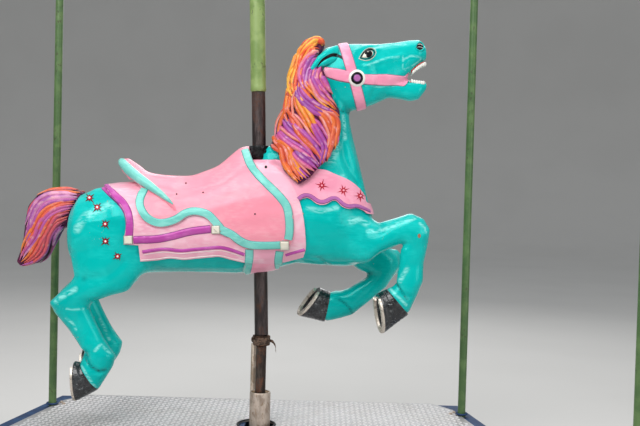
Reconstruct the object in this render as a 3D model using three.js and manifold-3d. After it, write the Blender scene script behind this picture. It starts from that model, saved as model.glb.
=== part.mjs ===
// Fairground carousel: one jumping horse on its pole, with the deck bay that it rides over.
// Millimetres, +Z up, +X towards the horse's nose, -Y towards the outside of the ring.
// The origin is on the floor, at the middle of the deck bay's rectangle.
// The horse and its pole lean back a little from the coupling up; the rod below it stands upright.
import * as THREE from 'three';
import { mergeVertices } from 'three/addons/utils/BufferGeometryUtils.js';
import Module from 'manifold-3d';

const wasm = await Module();
wasm.setup();

// Driving dimensions of the ring and of its deck.
const RING_BAYS = 16;
const POLE_CIRCLE = 3620;
const INNER_REACH = 333;
const OUTER_REACH = 900;
const DECK_HEIGHT = 150;
const PLATE_THICKNESS = 5;
const EDGE_BEAM_WIDTH = 40;
const SEAM_BEAM_WIDTH = 60;
const SEAM_BEAM_HEIGHT = 105;
const SEAM_STRIP = 15;
const CORNER_CUT = [42, 82];
const JOIST_WIDTH = 40;
const JOIST_CENTRE = 66;
const GAP = 0.4;

// Pole, guide sleeve and drop rods.
const POLE_X = 20;
const LEAN_DEGREES = 2.1;
const LEAN_HEIGHT = 262;
const POLE_DIAMETER = 42;
const POLE_TOP = 2000;
const UPPER_SLEEVE_DIAMETER = 48;
const UPPER_SLEEVE_START = 1027;
const COLLAR_DIAMETER = 60;
const COLLAR_BOTTOM = 824;
const COLLAR_TOP = 862;
const COUPLING_DIAMETER = 52;
const COUPLING_TOP = 278;
const POLE_BOTTOM = 279.2;
const COUPLING_BOTTOM = 247;
const LOWER_ROD_DIAMETER = 32;
const LOWER_ROD_END = -100;
const STEADY_ROD_DIAMETER = 16;
const STEADY_ROD_PLACE = [-26, 37];
const STEADY_HOLE_DIAMETER = 27;
const STEADY_LUG_WIDTH = 24;
const STEADY_LUG_HEIGHT = 14;
const GUIDE_DIAMETER = 64;
const GUIDE_BORE = 54;
const GUIDE_TOP = 103;
const BUSH_LENGTH = 40;
const BUSH_CLEARANCE = 0.6;
const DECK_HOLE_DIAMETER = 112;
const DECK_HOLE_SHIFT = -10;
const HOLE_RING_WIDTH = 5;
const HOLE_RING_THICKNESS = 3;
const BASE_PLATE_THICKNESS = 10;
const BASE_PLATE_SIZE = 200;
const BASE_PLATE_HOLE = 42;
const DROP_ROD_DIAMETER = 25;
const DROP_ROD_TOP = 2000;
const INNER_ROD_REACH = 180;
const OUTER_ROD_REACH = 870;
const ROD_INSET = 10;

// Horse and tack.
const BODY_SIDES = 24;
const LIMB_SIDES = 16;
const BLANKET_THICKNESS = 8;
const SADDLE_THICKNESS = 13;
const STRAP_THICKNESS = 7;
const BRIDLE_THICKNESS = 5;
const MANE_THICKNESS = 22;
const SHOE_THICKNESS = 7;

const POLE_Y = (OUTER_REACH - INNER_REACH) / 2;
const SEAM_SLOPE = Math.tan(Math.PI / RING_BAYS);

// Colours and finishes, one for each kind of material.
const FINISHES = {
  turquoise: { color: '#17c3bb', roughness: 0.25, metalness: 0 },
  treadPlate: { color: '#c4c6c8', roughness: 0.4, metalness: 0.9 },
  bluePaint: { color: '#1c63b8', roughness: 0.45, metalness: 0 },
  olivePaint: { color: '#6f7f55', roughness: 0.5, metalness: 0 },
  palePaint: { color: '#a9bf94', roughness: 0.5, metalness: 0 },
  galvanised: { color: '#b9b3a6', roughness: 0.5, metalness: 0.8 },
  weatheredSteel: { color: '#4a4340', roughness: 0.6, metalness: 0.7 },
  blackIron: { color: '#202024', roughness: 0.5, metalness: 0.5 },
  bronze: { color: '#8a6a3a', roughness: 0.5, metalness: 0.8 },
  silver: { color: '#c9ccd0', roughness: 0.3, metalness: 1 },
  hoofBlack: { color: '#1b1c20', roughness: 0.3, metalness: 0 },
  pink: { color: '#f7a1bd', roughness: 0.3, metalness: 0 },
  palePink: { color: '#f8c0d3', roughness: 0.3, metalness: 0 },
  mint: { color: '#86d8cc', roughness: 0.3, metalness: 0 },
  maneOrange: { color: '#f0793a', roughness: 0.35, metalness: 0 },
  tailMagenta: { color: '#c2437c', roughness: 0.35, metalness: 0 },
};

const root = new THREE.Group();
const deck = new THREE.Group();
const upright = new THREE.Group();
upright.position.set(POLE_X, POLE_Y, DECK_HEIGHT);
const leaning = new THREE.Group();
leaning.position.z = LEAN_HEIGHT;
leaning.rotation.y = -THREE.MathUtils.degToRad(LEAN_DEGREES);
const horse = new THREE.Group();
horse.position.z = -LEAN_HEIGHT;
leaning.add(horse);
upright.add(leaning);
root.add(deck, upright);

// Adds one named mesh with its own material to a group.
function addPart(group, name, geometry, finish) {
  geometry.computeVertexNormals();
  const material = new THREE.MeshStandardMaterial(FINISHES[finish]);
  const mesh = new THREE.Mesh(geometry, material);
  mesh.name = name;
  group.add(mesh);
  return mesh;
}

// Turns a closed geometry into a solid that can be joined and cut.
function solidOf(geometry) {
  const bare = geometry.clone();
  bare.deleteAttribute('normal');
  bare.deleteAttribute('uv');
  const merged = mergeVertices(bare, 1e-4);
  return new wasm.Manifold(new wasm.Mesh({
    numProp: 3,
    vertProperties: new Float32Array(merged.attributes.position.array),
    triVerts: new Uint32Array(merged.index.array),
  }));
}

// Turns a solid back into a geometry.
function geometryOf(solid) {
  const mesh = solid.getMesh();
  const geometry = new THREE.BufferGeometry();
  geometry.setAttribute('position', new THREE.Float32BufferAttribute(mesh.vertProperties, 3));
  geometry.setIndex(Array.from(mesh.triVerts));
  return geometry;
}

// Joins several solids into one.
function joined(solids) {
  return solids.reduce((whole, solid) => whole.add(solid));
}

// Takes several solids away from the first.
function cut(solid, tools) {
  return tools.reduce((rest, tool) => rest.subtract(tool), solid);
}

// A ring is [top x, top z, bottom x, bottom z, half width, y of its middle].
// The loft is a rounded body through its rings, grown on every side by offset.
function loft(rings, sides, offset = 0, squareness = 2.15) {
  const middles = rings.map(([ax, az, bx, bz, , y]) => new THREE.Vector3((ax + bx) / 2, y, (az + bz) / 2));
  const last = rings.length - 1;
  const startShift = endNormal(rings[0], middles[0].clone().sub(middles[1])).multiplyScalar(offset);
  const endShift = endNormal(rings[last], middles[last].clone().sub(middles[last - 1])).multiplyScalar(offset);
  const positions = [];
  rings.forEach(([ax, az, bx, bz, halfWidth], ringIndex) => {
    const half = new THREE.Vector3((ax - bx) / 2, 0, (az - bz) / 2);
    half.setLength(half.length() + offset);
    const middle = middles[ringIndex].clone();
    if (ringIndex === 0) middle.add(startShift);
    if (ringIndex === last) middle.add(endShift);
    for (let side = 0; side < sides; side += 1) {
      const angle = (2 * Math.PI * side) / sides;
      const up = Math.sign(Math.cos(angle)) * Math.abs(Math.cos(angle)) ** (2 / squareness);
      const across = Math.sign(Math.sin(angle)) * Math.abs(Math.sin(angle)) ** (2 / squareness);
      const point = middle.clone().addScaledVector(half, up);
      point.y += (halfWidth + offset) * across;
      positions.push(point.x, point.y, point.z);
    }
  });
  const startCentre = rings.length * sides;
  const endCentre = startCentre + 1;
  const start = middles[0].clone().add(startShift);
  const end = middles[last].clone().add(endShift);
  positions.push(start.x, start.y, start.z, end.x, end.y, end.z);
  const index = [];
  for (let ring = 0; ring < last; ring += 1) {
    for (let side = 0; side < sides; side += 1) {
      const next = (side + 1) % sides;
      const a = ring * sides + side;
      const b = ring * sides + next;
      const c = a + sides;
      const d = b + sides;
      index.push(a, b, d, a, d, c);
    }
  }
  for (let side = 0; side < sides; side += 1) {
    const next = (side + 1) % sides;
    index.push(startCentre, next, side);
    index.push(endCentre, last * sides + side, last * sides + next);
  }
  const geometry = new THREE.BufferGeometry();
  geometry.setAttribute('position', new THREE.Float32BufferAttribute(positions, 3));
  geometry.setIndex(index);
  return facingOut(geometry);
}

// The direction square to a ring's plane, on the side that outward points to.
function endNormal([ax, az, bx, bz], outward) {
  const normal = new THREE.Vector3(ax - bx, 0, az - bz).cross(new THREE.Vector3(0, 1, 0)).normalize();
  return normal.dot(outward) < 0 ? normal.negate() : normal;
}

// Turns the faces round where they point into the body.
function facingOut(geometry) {
  const position = geometry.attributes.position;
  const corners = geometry.index.array;
  const [a, b, c] = [new THREE.Vector3(), new THREE.Vector3(), new THREE.Vector3()];
  let volume = 0;
  for (let i = 0; i < corners.length; i += 3) {
    a.fromBufferAttribute(position, corners[i]);
    b.fromBufferAttribute(position, corners[i + 1]);
    c.fromBufferAttribute(position, corners[i + 2]);
    volume += a.dot(b.cross(c));
  }
  if (volume < 0) {
    const flipped = [];
    for (let i = 0; i < corners.length; i += 3) {
      flipped.push(corners[i], corners[i + 2], corners[i + 1]);
    }
    geometry.setIndex(flipped);
  }
  return geometry;
}

// A side outline, given as [x, z] points, carried straight across the horse between two y values.
function sideSlab(points, fromY = -260, toY = 260, rounded = false) {
  let outline = points.map(([x, z]) => new THREE.Vector2(x, z));
  if (rounded) {
    const path = points.map(([x, z]) => new THREE.Vector3(x, z, 0));
    const curve = new THREE.CatmullRomCurve3(path, true, 'centripetal');
    outline = curve.getPoints(points.length * 3).slice(0, -1).map((point) => new THREE.Vector2(point.x, point.y));
  }
  const slab = new THREE.ExtrudeGeometry(new THREE.Shape(outline), { depth: toY - fromY, bevelEnabled: false });
  slab.rotateX(Math.PI / 2);
  slab.translate(0, toY, 0);
  return solidOf(slab);
}

// An upright round bar or disc from one height to another.
function roundBar(diameter, fromZ, toZ, sides = 32, x = 0, y = 0) {
  const bar = new THREE.CylinderGeometry(diameter / 2, diameter / 2, toZ - fromZ, sides);
  bar.rotateX(Math.PI / 2);
  bar.translate(x, y, (fromZ + toZ) / 2);
  return bar;
}

// An upright round tube, as a closed profile turned about its axis.
function roundTube(outer, bore, fromZ, toZ, sides = 32) {
  const profile = [
    new THREE.Vector2(bore / 2, fromZ),
    new THREE.Vector2(outer / 2, fromZ),
    new THREE.Vector2(outer / 2, toZ),
    new THREE.Vector2(bore / 2, toZ),
    new THREE.Vector2(bore / 2, fromZ),
  ];
  const tube = new THREE.LatheGeometry(profile, sides);
  tube.rotateX(Math.PI / 2);
  return facingOut(mergedOnly(tube));
}

// Keeps the positions alone, with the seam of a turned shape closed.
function mergedOnly(geometry) {
  geometry.deleteAttribute('normal');
  geometry.deleteAttribute('uv');
  return mergeVertices(geometry, 1e-4);
}

// A box between two corners.
function block(x0, y0, z0, x1, y1, z1) {
  const box = new THREE.BoxGeometry(x1 - x0, y1 - y0, z1 - z0);
  box.translate((x0 + x1) / 2, (y0 + y1) / 2, (z0 + z1) / 2);
  return box;
}

// The rings of the body, from the rump to the chest.
const TRUNK_RINGS = [
  [-580, 640, -581, 575, 48, 0],
  [-570, 682, -575, 520, 84, 0],
  [-546, 718, -556, 478, 104, 0],
  [-498, 738, -508, 456, 116, 0],
  [-430, 747, -425, 458, 120, 0],
  [-350, 748, -345, 474, 118, 0],
  [-250, 750, -250, 476, 115, 0],
  [-160, 768, -160, 474, 115, 0],
  [-70, 806, -75, 470, 117, 0],
  [20, 824, 20, 479, 119, 0],
  [100, 808, 110, 500, 119, 0],
  [190, 772, 195, 492, 113, 0],
  [270, 740, 265, 486, 100, 0],
  [322, 705, 318, 500, 78, 0],
  [346, 655, 340, 550, 46, 0],
];

// The rings of the neck, from its root in the body to the poll; the first point is on the crest.
const NECK_RINGS = [
  [56, 766, 315, 610, 84, 0],
  [42, 810, 338, 668, 84, 0],
  [52, 852, 323, 735, 78, 0],
  [74, 900, 305, 815, 70, 0],
  [92, 950, 290, 878, 63, 0],
  [106, 1000, 279, 932, 57, 0],
  [118, 1050, 278, 968, 53, 0],
  [134, 1096, 286, 990, 49, 0],
  [160, 1128, 300, 1030, 44, 0],
];

// The rings of the head, from the poll to the nose.
const HEAD_RINGS = [
  [176, 1128, 232, 985, 44, 0],
  [212, 1160, 266, 962, 54, 0],
  [262, 1170, 312, 970, 59, 0],
  [318, 1170, 352, 984, 57, 0],
  [372, 1169, 398, 1004, 49, 0],
  [420, 1173, 436, 1040, 41, 0],
  [462, 1179, 464, 1078, 38, 0],
  [494, 1180, 492, 1106, 36, 0],
  [512, 1158, 514, 1120, 25, 0],
];

// The lower jaw, from inside the cheek to the lower lip.
const JAW_RINGS = [
  [388, 1060, 398, 1004, 36, 0],
  [430, 1058, 428, 1000, 33, 0],
  [466, 1056, 464, 993, 31, 0],
  [496, 1056, 490, 998, 28, 0],
  [516, 1048, 512, 1026, 16, 0],
];

const TAIL_RINGS = [
  [-520, 720, -530, 628, 26, 0],
  [-560, 733, -572, 620, 32, 0],
  [-596, 737, -604, 612, 35, 0],
  [-640, 735, -622, 596, 37, 0],
  [-682, 722, -634, 572, 38, 0],
  [-712, 688, -646, 546, 37, 0],
  [-722, 640, -662, 522, 34, 0],
  [-728, 592, -682, 508, 29, 0],
  [-739, 548, -708, 501, 20, 0],
  [-752, 516, -738, 498, 10, 0],
];

// Right foreleg, stretched forward with the hoof tucked back; the left one is folded further.
const RIGHT_FORE_RINGS = [
  [318, 640, 262, 500, 44, -52],
  [370, 628, 322, 500, 46, -62],
  [409, 638, 362, 532, 44, -68],
  [457, 653, 424, 560, 40, -72],
  [496, 635, 434, 558, 38, -74],
  [514, 604, 433, 551, 36, -75],
  [508, 562, 430, 524, 32, -75],
  [494, 499, 426, 497, 28, -75],
  [492, 448, 417, 449, 30, -75],
  [474, 406, 399, 431, 32, -75],
  [450, 356, 384, 426, 35, -75],
];
const LEFT_FORE_RINGS = [
  [330, 620, 240, 510, 44, 52],
  [362, 585, 275, 488, 46, 62],
  [399, 542, 303, 470, 42, 70],
  [430, 513, 332, 460, 37, 74],
  [436, 481, 330, 445, 34, 75],
  [392, 415, 316, 438, 31, 75],
  [331, 365, 274, 413, 28, 75],
  [283, 328, 246, 404, 31, 75],
  [240, 316, 231, 405, 32, 75],
  [204, 309, 220, 402, 34, 75],
];
const RIGHT_HIND_RINGS = [
  [-572, 650, -344, 625, 54, -52],
  [-576, 592, -330, 548, 55, -60],
  [-566, 522, -345, 478, 52, -66],
  [-556, 474, -385, 424, 46, -70],
  [-572, 450, -440, 408, 40, -73],
  [-598, 427, -497, 399, 36, -75],
  [-630, 397, -511, 380, 34, -76],
  [-612, 362, -502, 356, 31, -76],
  [-573, 314, -488, 324, 28, -76],
  [-543, 268, -467, 282, 29, -76],
  [-526, 248, -434, 232, 34, -76],
  [-533, 229, -442, 202, 35, -76],
  [-539, 216, -466, 164, 35, -76],
  [-542, 210, -486, 134, 36, -76],
];

// The left hind leg is the right one, a little further forward and higher.
const LEFT_HIND_SHIFT = [-12, 14];
const LEFT_HIND_RINGS = RIGHT_HIND_RINGS.map(([ax, az, bx, bz, halfWidth, y]) => [
  ax + LEFT_HIND_SHIFT[0], az + LEFT_HIND_SHIFT[1], bx + LEFT_HIND_SHIFT[0], bz + LEFT_HIND_SHIFT[1], halfWidth, -y,
]);

// A hoof runs from its coronet to its sole; each is [toe x, toe z, heel x, heel z, half width].
const HOOVES = {
  right_fore: { coronet: [448, 348, 382, 428, 37], sole: [371, 292, 354, 416, 43], y: -75 },
  left_fore: { coronet: [195, 306, 218, 404, 36], sole: [114, 327, 186, 418, 43], y: 75 },
  right_hind: { coronet: [-487, 132, -540, 214, 37], sole: [-553, 98, -558, 222, 42], y: -76 },
};
HOOVES.left_hind = {
  coronet: shifted(HOOVES.right_hind.coronet),
  sole: shifted(HOOVES.right_hind.sole),
  y: -HOOVES.right_hind.y,
};

function shifted([ax, az, bx, bz, halfWidth]) {
  const [dx, dz] = LEFT_HIND_SHIFT;
  return [ax + dx, az + dz, bx + dx, bz + dz, halfWidth];
}

// A leg ends in a plug that its hoof fits round, a short way from the coronet to the sole.
const PLUG_DEPTH = 0.22;
const PLUG_WIDTH = 0.8;
function withPlug(rings, { coronet, sole, y }) {
  const at = coronet.map((value, place) => value + (sole[place] - value) * PLUG_DEPTH);
  const middle = [(at[0] + at[2]) / 2, (at[1] + at[3]) / 2];
  const [ax, az, bx, bz] = at.slice(0, 4).map((value, place) => {
    const centre = middle[place % 2];
    return centre + (value - centre) * PLUG_WIDTH;
  });
  const [lastX, lastZ] = rings[rings.length - 1];
  const toeFirst = Math.hypot(ax - lastX, az - lastZ) < Math.hypot(bx - lastX, bz - lastZ);
  const plug = toeFirst ? [ax, az, bx, bz] : [bx, bz, ax, az];
  return [...rings, [...plug, at[4] * PLUG_WIDTH, y]];
}
const LEGS = {
  right_fore: withPlug(RIGHT_FORE_RINGS, HOOVES.right_fore),
  left_fore: withPlug(LEFT_FORE_RINGS, HOOVES.left_fore),
  right_hind: withPlug(RIGHT_HIND_RINGS, HOOVES.right_hind),
  left_hind: withPlug(LEFT_HIND_RINGS, HOOVES.left_hind),
};

const trunkSolid = (offset) => solidOf(loft(TRUNK_RINGS, BODY_SIDES, offset));
const neckSolid = (offset) => solidOf(loft(NECK_RINGS, BODY_SIDES, offset));
const headSolid = (offset) => solidOf(loft(HEAD_RINGS, BODY_SIDES, offset));
const legSolid = (name, offset) => solidOf(loft(LEGS[name], LIMB_SIDES, offset));
const allLegs = (offset) => Object.keys(LEGS).map((name) => legSolid(name, offset));
const poleBore = solidOf(roundBar(POLE_DIAMETER + 2 * GAP, COUPLING_TOP, POLE_TOP));

// A layer of even thickness over some of the bodies, inside a side outline.
function layerOver(bodies, inner, outer, slab) {
  const skin = joined(bodies.map((body) => body(outer))).intersect(slab);
  return cut(skin, bodies.map((body) => body(inner)));
}

// Outlines of the tack as seen from the side.
const BLANKET_OUTLINE = [
  [-468, 800], [-461, 735], [-398, 680], [-386, 627], [-388, 564], [-346, 519], [-290, 519], [-216, 528],
  [-127, 530], [-38, 512], [95, 523], [139, 530], [139, 578], [124, 681], [97, 726], [58, 790], [58, 900],
  [-462, 900],
];
const SADDLE_OUTLINE = [
  [-395, 900], [-375, 760], [-350, 722], [-345, 680], [-323, 647], [-279, 632], [-229, 652], [-184, 668],
  [-146, 660], [-118, 628], [-67, 589], [-38, 568], [7, 561], [80, 561], [96, 608], [93, 652], [67, 705],
  [24, 752], [-22, 800], [-30, 900],
];
const GIRTH_OUTLINE = [[-36, 556], [66, 556], [58, 430], [-42, 430]];
const COLLAR_OUTLINE = [
  [116, 726], [186, 800], [262, 762], [309, 726], [334, 684], [400, 684], [400, 662], [321, 666],
  [288, 677], [259, 686], [230, 705], [194, 694], [171, 706], [144, 715], [118, 700],
];
const MANE_OUTLINE = [
  [124, 740], [160, 765], [184, 793], [206, 810], [222, 835], [246, 872], [248, 960], [228, 998], [212, 1052],
  [190, 1110], [176, 1160], [100, 1150], [20, 1000], [0, 870], [60, 842], [84, 790],
];
const FAR_MANE_OUTLINE = [
  [92, 800], [120, 850], [140, 900], [158, 960], [172, 1020], [182, 1080], [184, 1140], [100, 1150],
  [20, 1000], [0, 870], [60, 842],
];

// The thick part of the mane along the crest of the neck; the first point is at the back.
const CREST_RINGS = [
  [48, 868, 120, 850, 26, 0],
  [46, 900, 130, 888, 34, 0],
  [56, 936, 140, 922, 36, 0],
  [78, 976, 150, 962, 34, 0],
  [85, 1024, 160, 1010, 32, 0],
  [91, 1062, 170, 1048, 31, 0],
  [99, 1104, 180, 1076, 29, 0],
  [116, 1138, 186, 1100, 24, 0],
];

// Body blocks: every piece that meets a neighbour is cut back from it by the gap.
addPart(horse, 'trunk', geometryOf(cut(trunkSolid(0), [poleBore])), 'turquoise');
addPart(horse, 'neck', geometryOf(cut(neckSolid(0), [trunkSolid(GAP), headSolid(GAP)])), 'turquoise');
addPart(horse, 'head', geometryOf(headSolid(0)), 'turquoise');
const jaw = solidOf(loft(JAW_RINGS, LIMB_SIDES));
addPart(horse, 'lower_jaw', geometryOf(cut(jaw, [headSolid(GAP)])), 'turquoise');
for (const name of Object.keys(LEGS)) {
  const leg = cut(legSolid(name, 0), [trunkSolid(GAP), neckSolid(GAP)]);
  addPart(horse, `${name}_leg`, geometryOf(leg), 'turquoise');
}

// Ears, laid back along the neck.
function earSolid(side, offset) {
  const rings = [
    [244, 1163, 250, 1110, 12, 34 * side],
    [228, 1158, 232, 1106, 16, 42 * side],
    [206, 1146, 212, 1100, 16, 48 * side],
    [182, 1126, 190, 1092, 12, 52 * side],
    [158, 1092, 164, 1078, 5, 54 * side],
  ];
  return solidOf(loft(rings, 12, offset));
}
const SIDES = [['right', -1], ['left', 1]];
for (const [name, side] of SIDES) {
  const ear = cut(earSolid(side, 0), [headSolid(GAP), neckSolid(GAP)]);
  addPart(horse, `${name}_ear`, geometryOf(ear), 'turquoise');
}
const earRoom = SIDES.map(([, side]) => earSolid(side, GAP));

// Tail, streaming back from the top of the rump.
const tail = solidOf(loft(TAIL_RINGS, LIMB_SIDES));
addPart(horse, 'tail', geometryOf(cut(tail, [trunkSolid(GAP), ...allLegs(GAP)])), 'tailMagenta');

// Hooves with their shoes.
for (const [name, { coronet, sole, y }] of Object.entries(HOOVES)) {
  const toRing = ([ax, az, bx, bz, halfWidth]) => [ax, az, bx, bz, halfWidth, y];
  const hoof = cut(solidOf(loft([toRing(coronet), toRing(sole)], LIMB_SIDES)), [legSolid(name, GAP)]);
  addPart(horse, `${name}_hoof`, geometryOf(hoof), 'hoofBlack');
  addPart(horse, `${name}_shoe`, horseshoe(sole, coronet, y), 'silver');
}

// A shoe is an open ring laid on the sole, with its gap at the heel.
function horseshoe([toeX, toeZ, heelX, heelZ, halfWidth], coronet, y) {
  const toe = new THREE.Vector3(toeX, y, toeZ);
  const heel = new THREE.Vector3(heelX, y, heelZ);
  const long = toe.clone().sub(heel);
  const middle = toe.clone().add(heel).multiplyScalar(0.5);
  const above = new THREE.Vector3((coronet[0] + coronet[2]) / 2, y, (coronet[1] + coronet[3]) / 2);
  const across = new THREE.Vector3(0, 1, 0);
  const down = new THREE.Vector3().crossVectors(long, across).normalize();
  if (down.dot(above.sub(middle)) > 0) {
    down.negate();
  }
  const halfLength = long.length() / 2;
  const web = 15;
  const opening = 0.62;
  const steps = 16;
  const outline = [];
  for (const [inset, direction] of [[1, 1], [web, -1]]) {
    for (let step = 0; step <= steps; step += 1) {
      const turn = direction * (step / steps - 0.5) * 2 * (Math.PI - opening);
      const x = (halfLength - inset) * Math.cos(turn);
      const width = (halfWidth - inset) * Math.sin(turn);
      outline.push(new THREE.Vector2(x, width));
    }
  }
  const shoe = new THREE.ExtrudeGeometry(new THREE.Shape(outline), { depth: SHOE_THICKNESS, bevelEnabled: false });
  const basis = new THREE.Matrix4();
  const forward = long.clone().normalize();
  basis.makeBasis(forward, new THREE.Vector3().crossVectors(down, forward), down);
  basis.setPosition(middle.addScaledVector(down, GAP));
  shoe.applyMatrix4(basis);
  return facingOut(mergedOnly(shoe));
}

// Tack: the blanket lies on the body, the saddle on the blanket.
const blanketSlab = sideSlab(BLANKET_OUTLINE);
const blanket = cut(layerOver([trunkSolid], GAP, BLANKET_THICKNESS, blanketSlab),
  [...allLegs(GAP), neckSolid(GAP), poleBore]);
addPart(horse, 'saddle_blanket', geometryOf(blanket), 'palePink');

// The raised front of the seat, just behind the pole.
const POMMEL_RINGS = [
  [-172, 783, -172, 740, 60, 0],
  [-128, 804, -128, 740, 60, 0],
  [-86, 838, -82, 750, 56, 0],
  [-62, 856, -50, 760, 50, 0],
  [-44, 860, -26, 780, 44, 0],
];
const saddleOuter = BLANKET_THICKNESS + GAP + SADDLE_THICKNESS;
const collarRoom = (offset) => solidOf(roundBar(COLLAR_DIAMETER + 2 * offset, COLLAR_BOTTOM, COLLAR_TOP + offset));
const saddle = cut(layerOver([trunkSolid], BLANKET_THICKNESS + GAP, saddleOuter, sideSlab(SADDLE_OUTLINE)),
  [poleBore]);
const pommel = solidOf(loft(POMMEL_RINGS, BODY_SIDES));
const pommelCuts = [trunkSolid(BLANKET_THICKNESS + GAP), poleBore, collarRoom(GAP)];
addPart(horse, 'saddle', geometryOf(joined([saddle, cut(pommel, pommelCuts)])), 'pink');

// The cantle is the raised roll behind the seat: half of it, from the middle of the back to the flap.
const CANTLE_HALF = [
  [-418, 832, -398, 740, 14, 0],
  [-414, 826, -392, 736, 14, 34],
  [-392, 804, -372, 728, 13, 66],
  [-358, 772, -344, 714, 12, 92],
  [-314, 735, -306, 694, 11, 110],
  [-276, 700, -272, 674, 9, 119],
];
function cantleSolid() {
  const sides = 12;
  const rows = [...CANTLE_HALF.slice(1).reverse().map((row) => [row, -1]), ...CANTLE_HALF.map((row) => [row, 1])];
  const tops = rows.map(([[x, z, , , , y], side]) => new THREE.Vector3(x, y * side, z));
  const curve = new THREE.CatmullRomCurve3(tops);
  const positions = [];
  rows.forEach(([[ax, az, bx, bz, thick]], row) => {
    const along = curve.getTangent(row / (rows.length - 1));
    const half = new THREE.Vector3((ax - bx) / 2, 0, (az - bz) / 2);
    const through = new THREE.Vector3().crossVectors(along, half).setLength(thick);
    const middle = tops[row].clone().sub(half);
    for (let side = 0; side < sides; side += 1) {
      const angle = (2 * Math.PI * side) / sides;
      const point = middle.clone().addScaledVector(half, Math.cos(angle)).addScaledVector(through, Math.sin(angle));
      positions.push(point.x, point.y, point.z);
    }
  });
  return solidOf(ringsToGeometry(positions, rows.length, sides));
}

// Joins rows of points that are already placed into a closed body with flat ends.
function ringsToGeometry(positions, rows, sides) {
  const index = [];
  for (let row = 0; row < rows - 1; row += 1) {
    for (let side = 0; side < sides; side += 1) {
      const next = (side + 1) % sides;
      const a = row * sides + side;
      const b = row * sides + next;
      index.push(a, b, b + sides, a, b + sides, a + sides);
    }
  }
  for (let side = 1; side < sides - 1; side += 1) {
    const end = (rows - 1) * sides;
    index.push(0, side + 1, side);
    index.push(end, end + side, end + side + 1);
  }
  const geometry = new THREE.BufferGeometry();
  geometry.setAttribute('position', new THREE.Float32BufferAttribute(positions, 3));
  geometry.setIndex(index);
  return facingOut(geometry);
}
const cantle = cut(cantleSolid(), [trunkSolid(saddleOuter + GAP)]);
addPart(horse, 'cantle', geometryOf(cantle), 'mint');

const girth = cut(layerOver([trunkSolid], GAP, STRAP_THICKNESS, sideSlab(GIRTH_OUTLINE)),
  [trunkSolid(BLANKET_THICKNESS + GAP).intersect(sideSlab(grown(BLANKET_OUTLINE, GAP))), poleBore, ...allLegs(GAP)]);
addPart(horse, 'girth', geometryOf(girth), 'palePink');

// Moves an outline's points away from its middle by a small amount.
function grown(points, amount) {
  const middleX = points.reduce((sum, point) => sum + point[0], 0) / points.length;
  const middleZ = points.reduce((sum, point) => sum + point[1], 0) / points.length;
  return points.map(([x, z]) => {
    const away = new THREE.Vector2(x - middleX, z - middleZ);
    away.setLength(away.length() + 2 * amount);
    return [middleX + away.x, middleZ + away.y];
  });
}

const chestBodies = [trunkSolid, neckSolid];
const blanketRoom = trunkSolid(BLANKET_THICKNESS + GAP).intersect(sideSlab(grown(BLANKET_OUTLINE, GAP)));
const collar = cut(layerOver(chestBodies, GAP, STRAP_THICKNESS, sideSlab(COLLAR_OUTLINE)),
  [...allLegs(GAP), blanketRoom]);
addPart(horse, 'breast_collar', geometryOf(collar), 'palePink');

// The mane lies on the right of the neck in full and only along the crest on the left.
const strapRoom = joined(chestBodies.map((body) => body(STRAP_THICKNESS + GAP)))
  .intersect(sideSlab(grown(COLLAR_OUTLINE, GAP)));
const maneSlab = sideSlab(MANE_OUTLINE, -260, 0.001).add(sideSlab(FAR_MANE_OUTLINE, 0, 260));
const crestSolid = (offset) => solidOf(loft(CREST_RINGS, BODY_SIDES, offset));
const crest = cut(crestSolid(0), chestBodies.map((body) => body(GAP)));
const mane = cut(joined([layerOver(chestBodies, GAP, MANE_THICKNESS, maneSlab), crest]),
  [headSolid(BRIDLE_THICKNESS + GAP), strapRoom, blanketRoom, ...earRoom]);
addPart(horse, 'mane', geometryOf(mane), 'maneOrange');

const forelockRings = [
  [128, 1122, 196, 1130, 22, 0],
  [124, 1148, 204, 1156, 24, 0],
  [138, 1174, 205, 1178, 20, 0],
  [164, 1190, 198, 1194, 10, 0],
];
const forelock = cut(solidOf(loft(forelockRings, LIMB_SIDES)),
  [headSolid(GAP), neckSolid(MANE_THICKNESS + GAP), crestSolid(GAP), ...earRoom]);
addPart(horse, 'forelock', geometryOf(forelock), 'maneOrange');

// Bridle: a crown strap round the head, a strap to the mouth, one to the neck, and a rosette each side.
const CROWN_OUTLINE = [[240, 1200], [276, 1200], [306, 1086], [321, 1032], [331, 940], [299, 940], [293, 1030], [274, 1081]];
const MOUTH_OUTLINE = [[290, 1078], [324, 1074], [458, 1070], [462, 1036], [324, 1038], [290, 1036]];
const NAPE_OUTLINE = [[196, 1098], [290, 1078], [290, 1046], [184, 1072]];
const bridleSlab = joined([CROWN_OUTLINE, MOUTH_OUTLINE, NAPE_OUTLINE].map((outline) => sideSlab(outline)));
const rosettes = [-1, 1].map((side) => {
  const disc = new THREE.CylinderGeometry(25, 25, 30, 24);
  disc.translate(302, 56 * side, 1066);
  return solidOf(disc);
});
const bridle = cut(joined([layerOver([headSolid], GAP, BRIDLE_THICKNESS, bridleSlab), ...rosettes]),
  [headSolid(GAP), neckSolid(GAP), jaw, ...earRoom]);
addPart(horse, 'bridle', geometryOf(bridle), 'pink');

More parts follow.
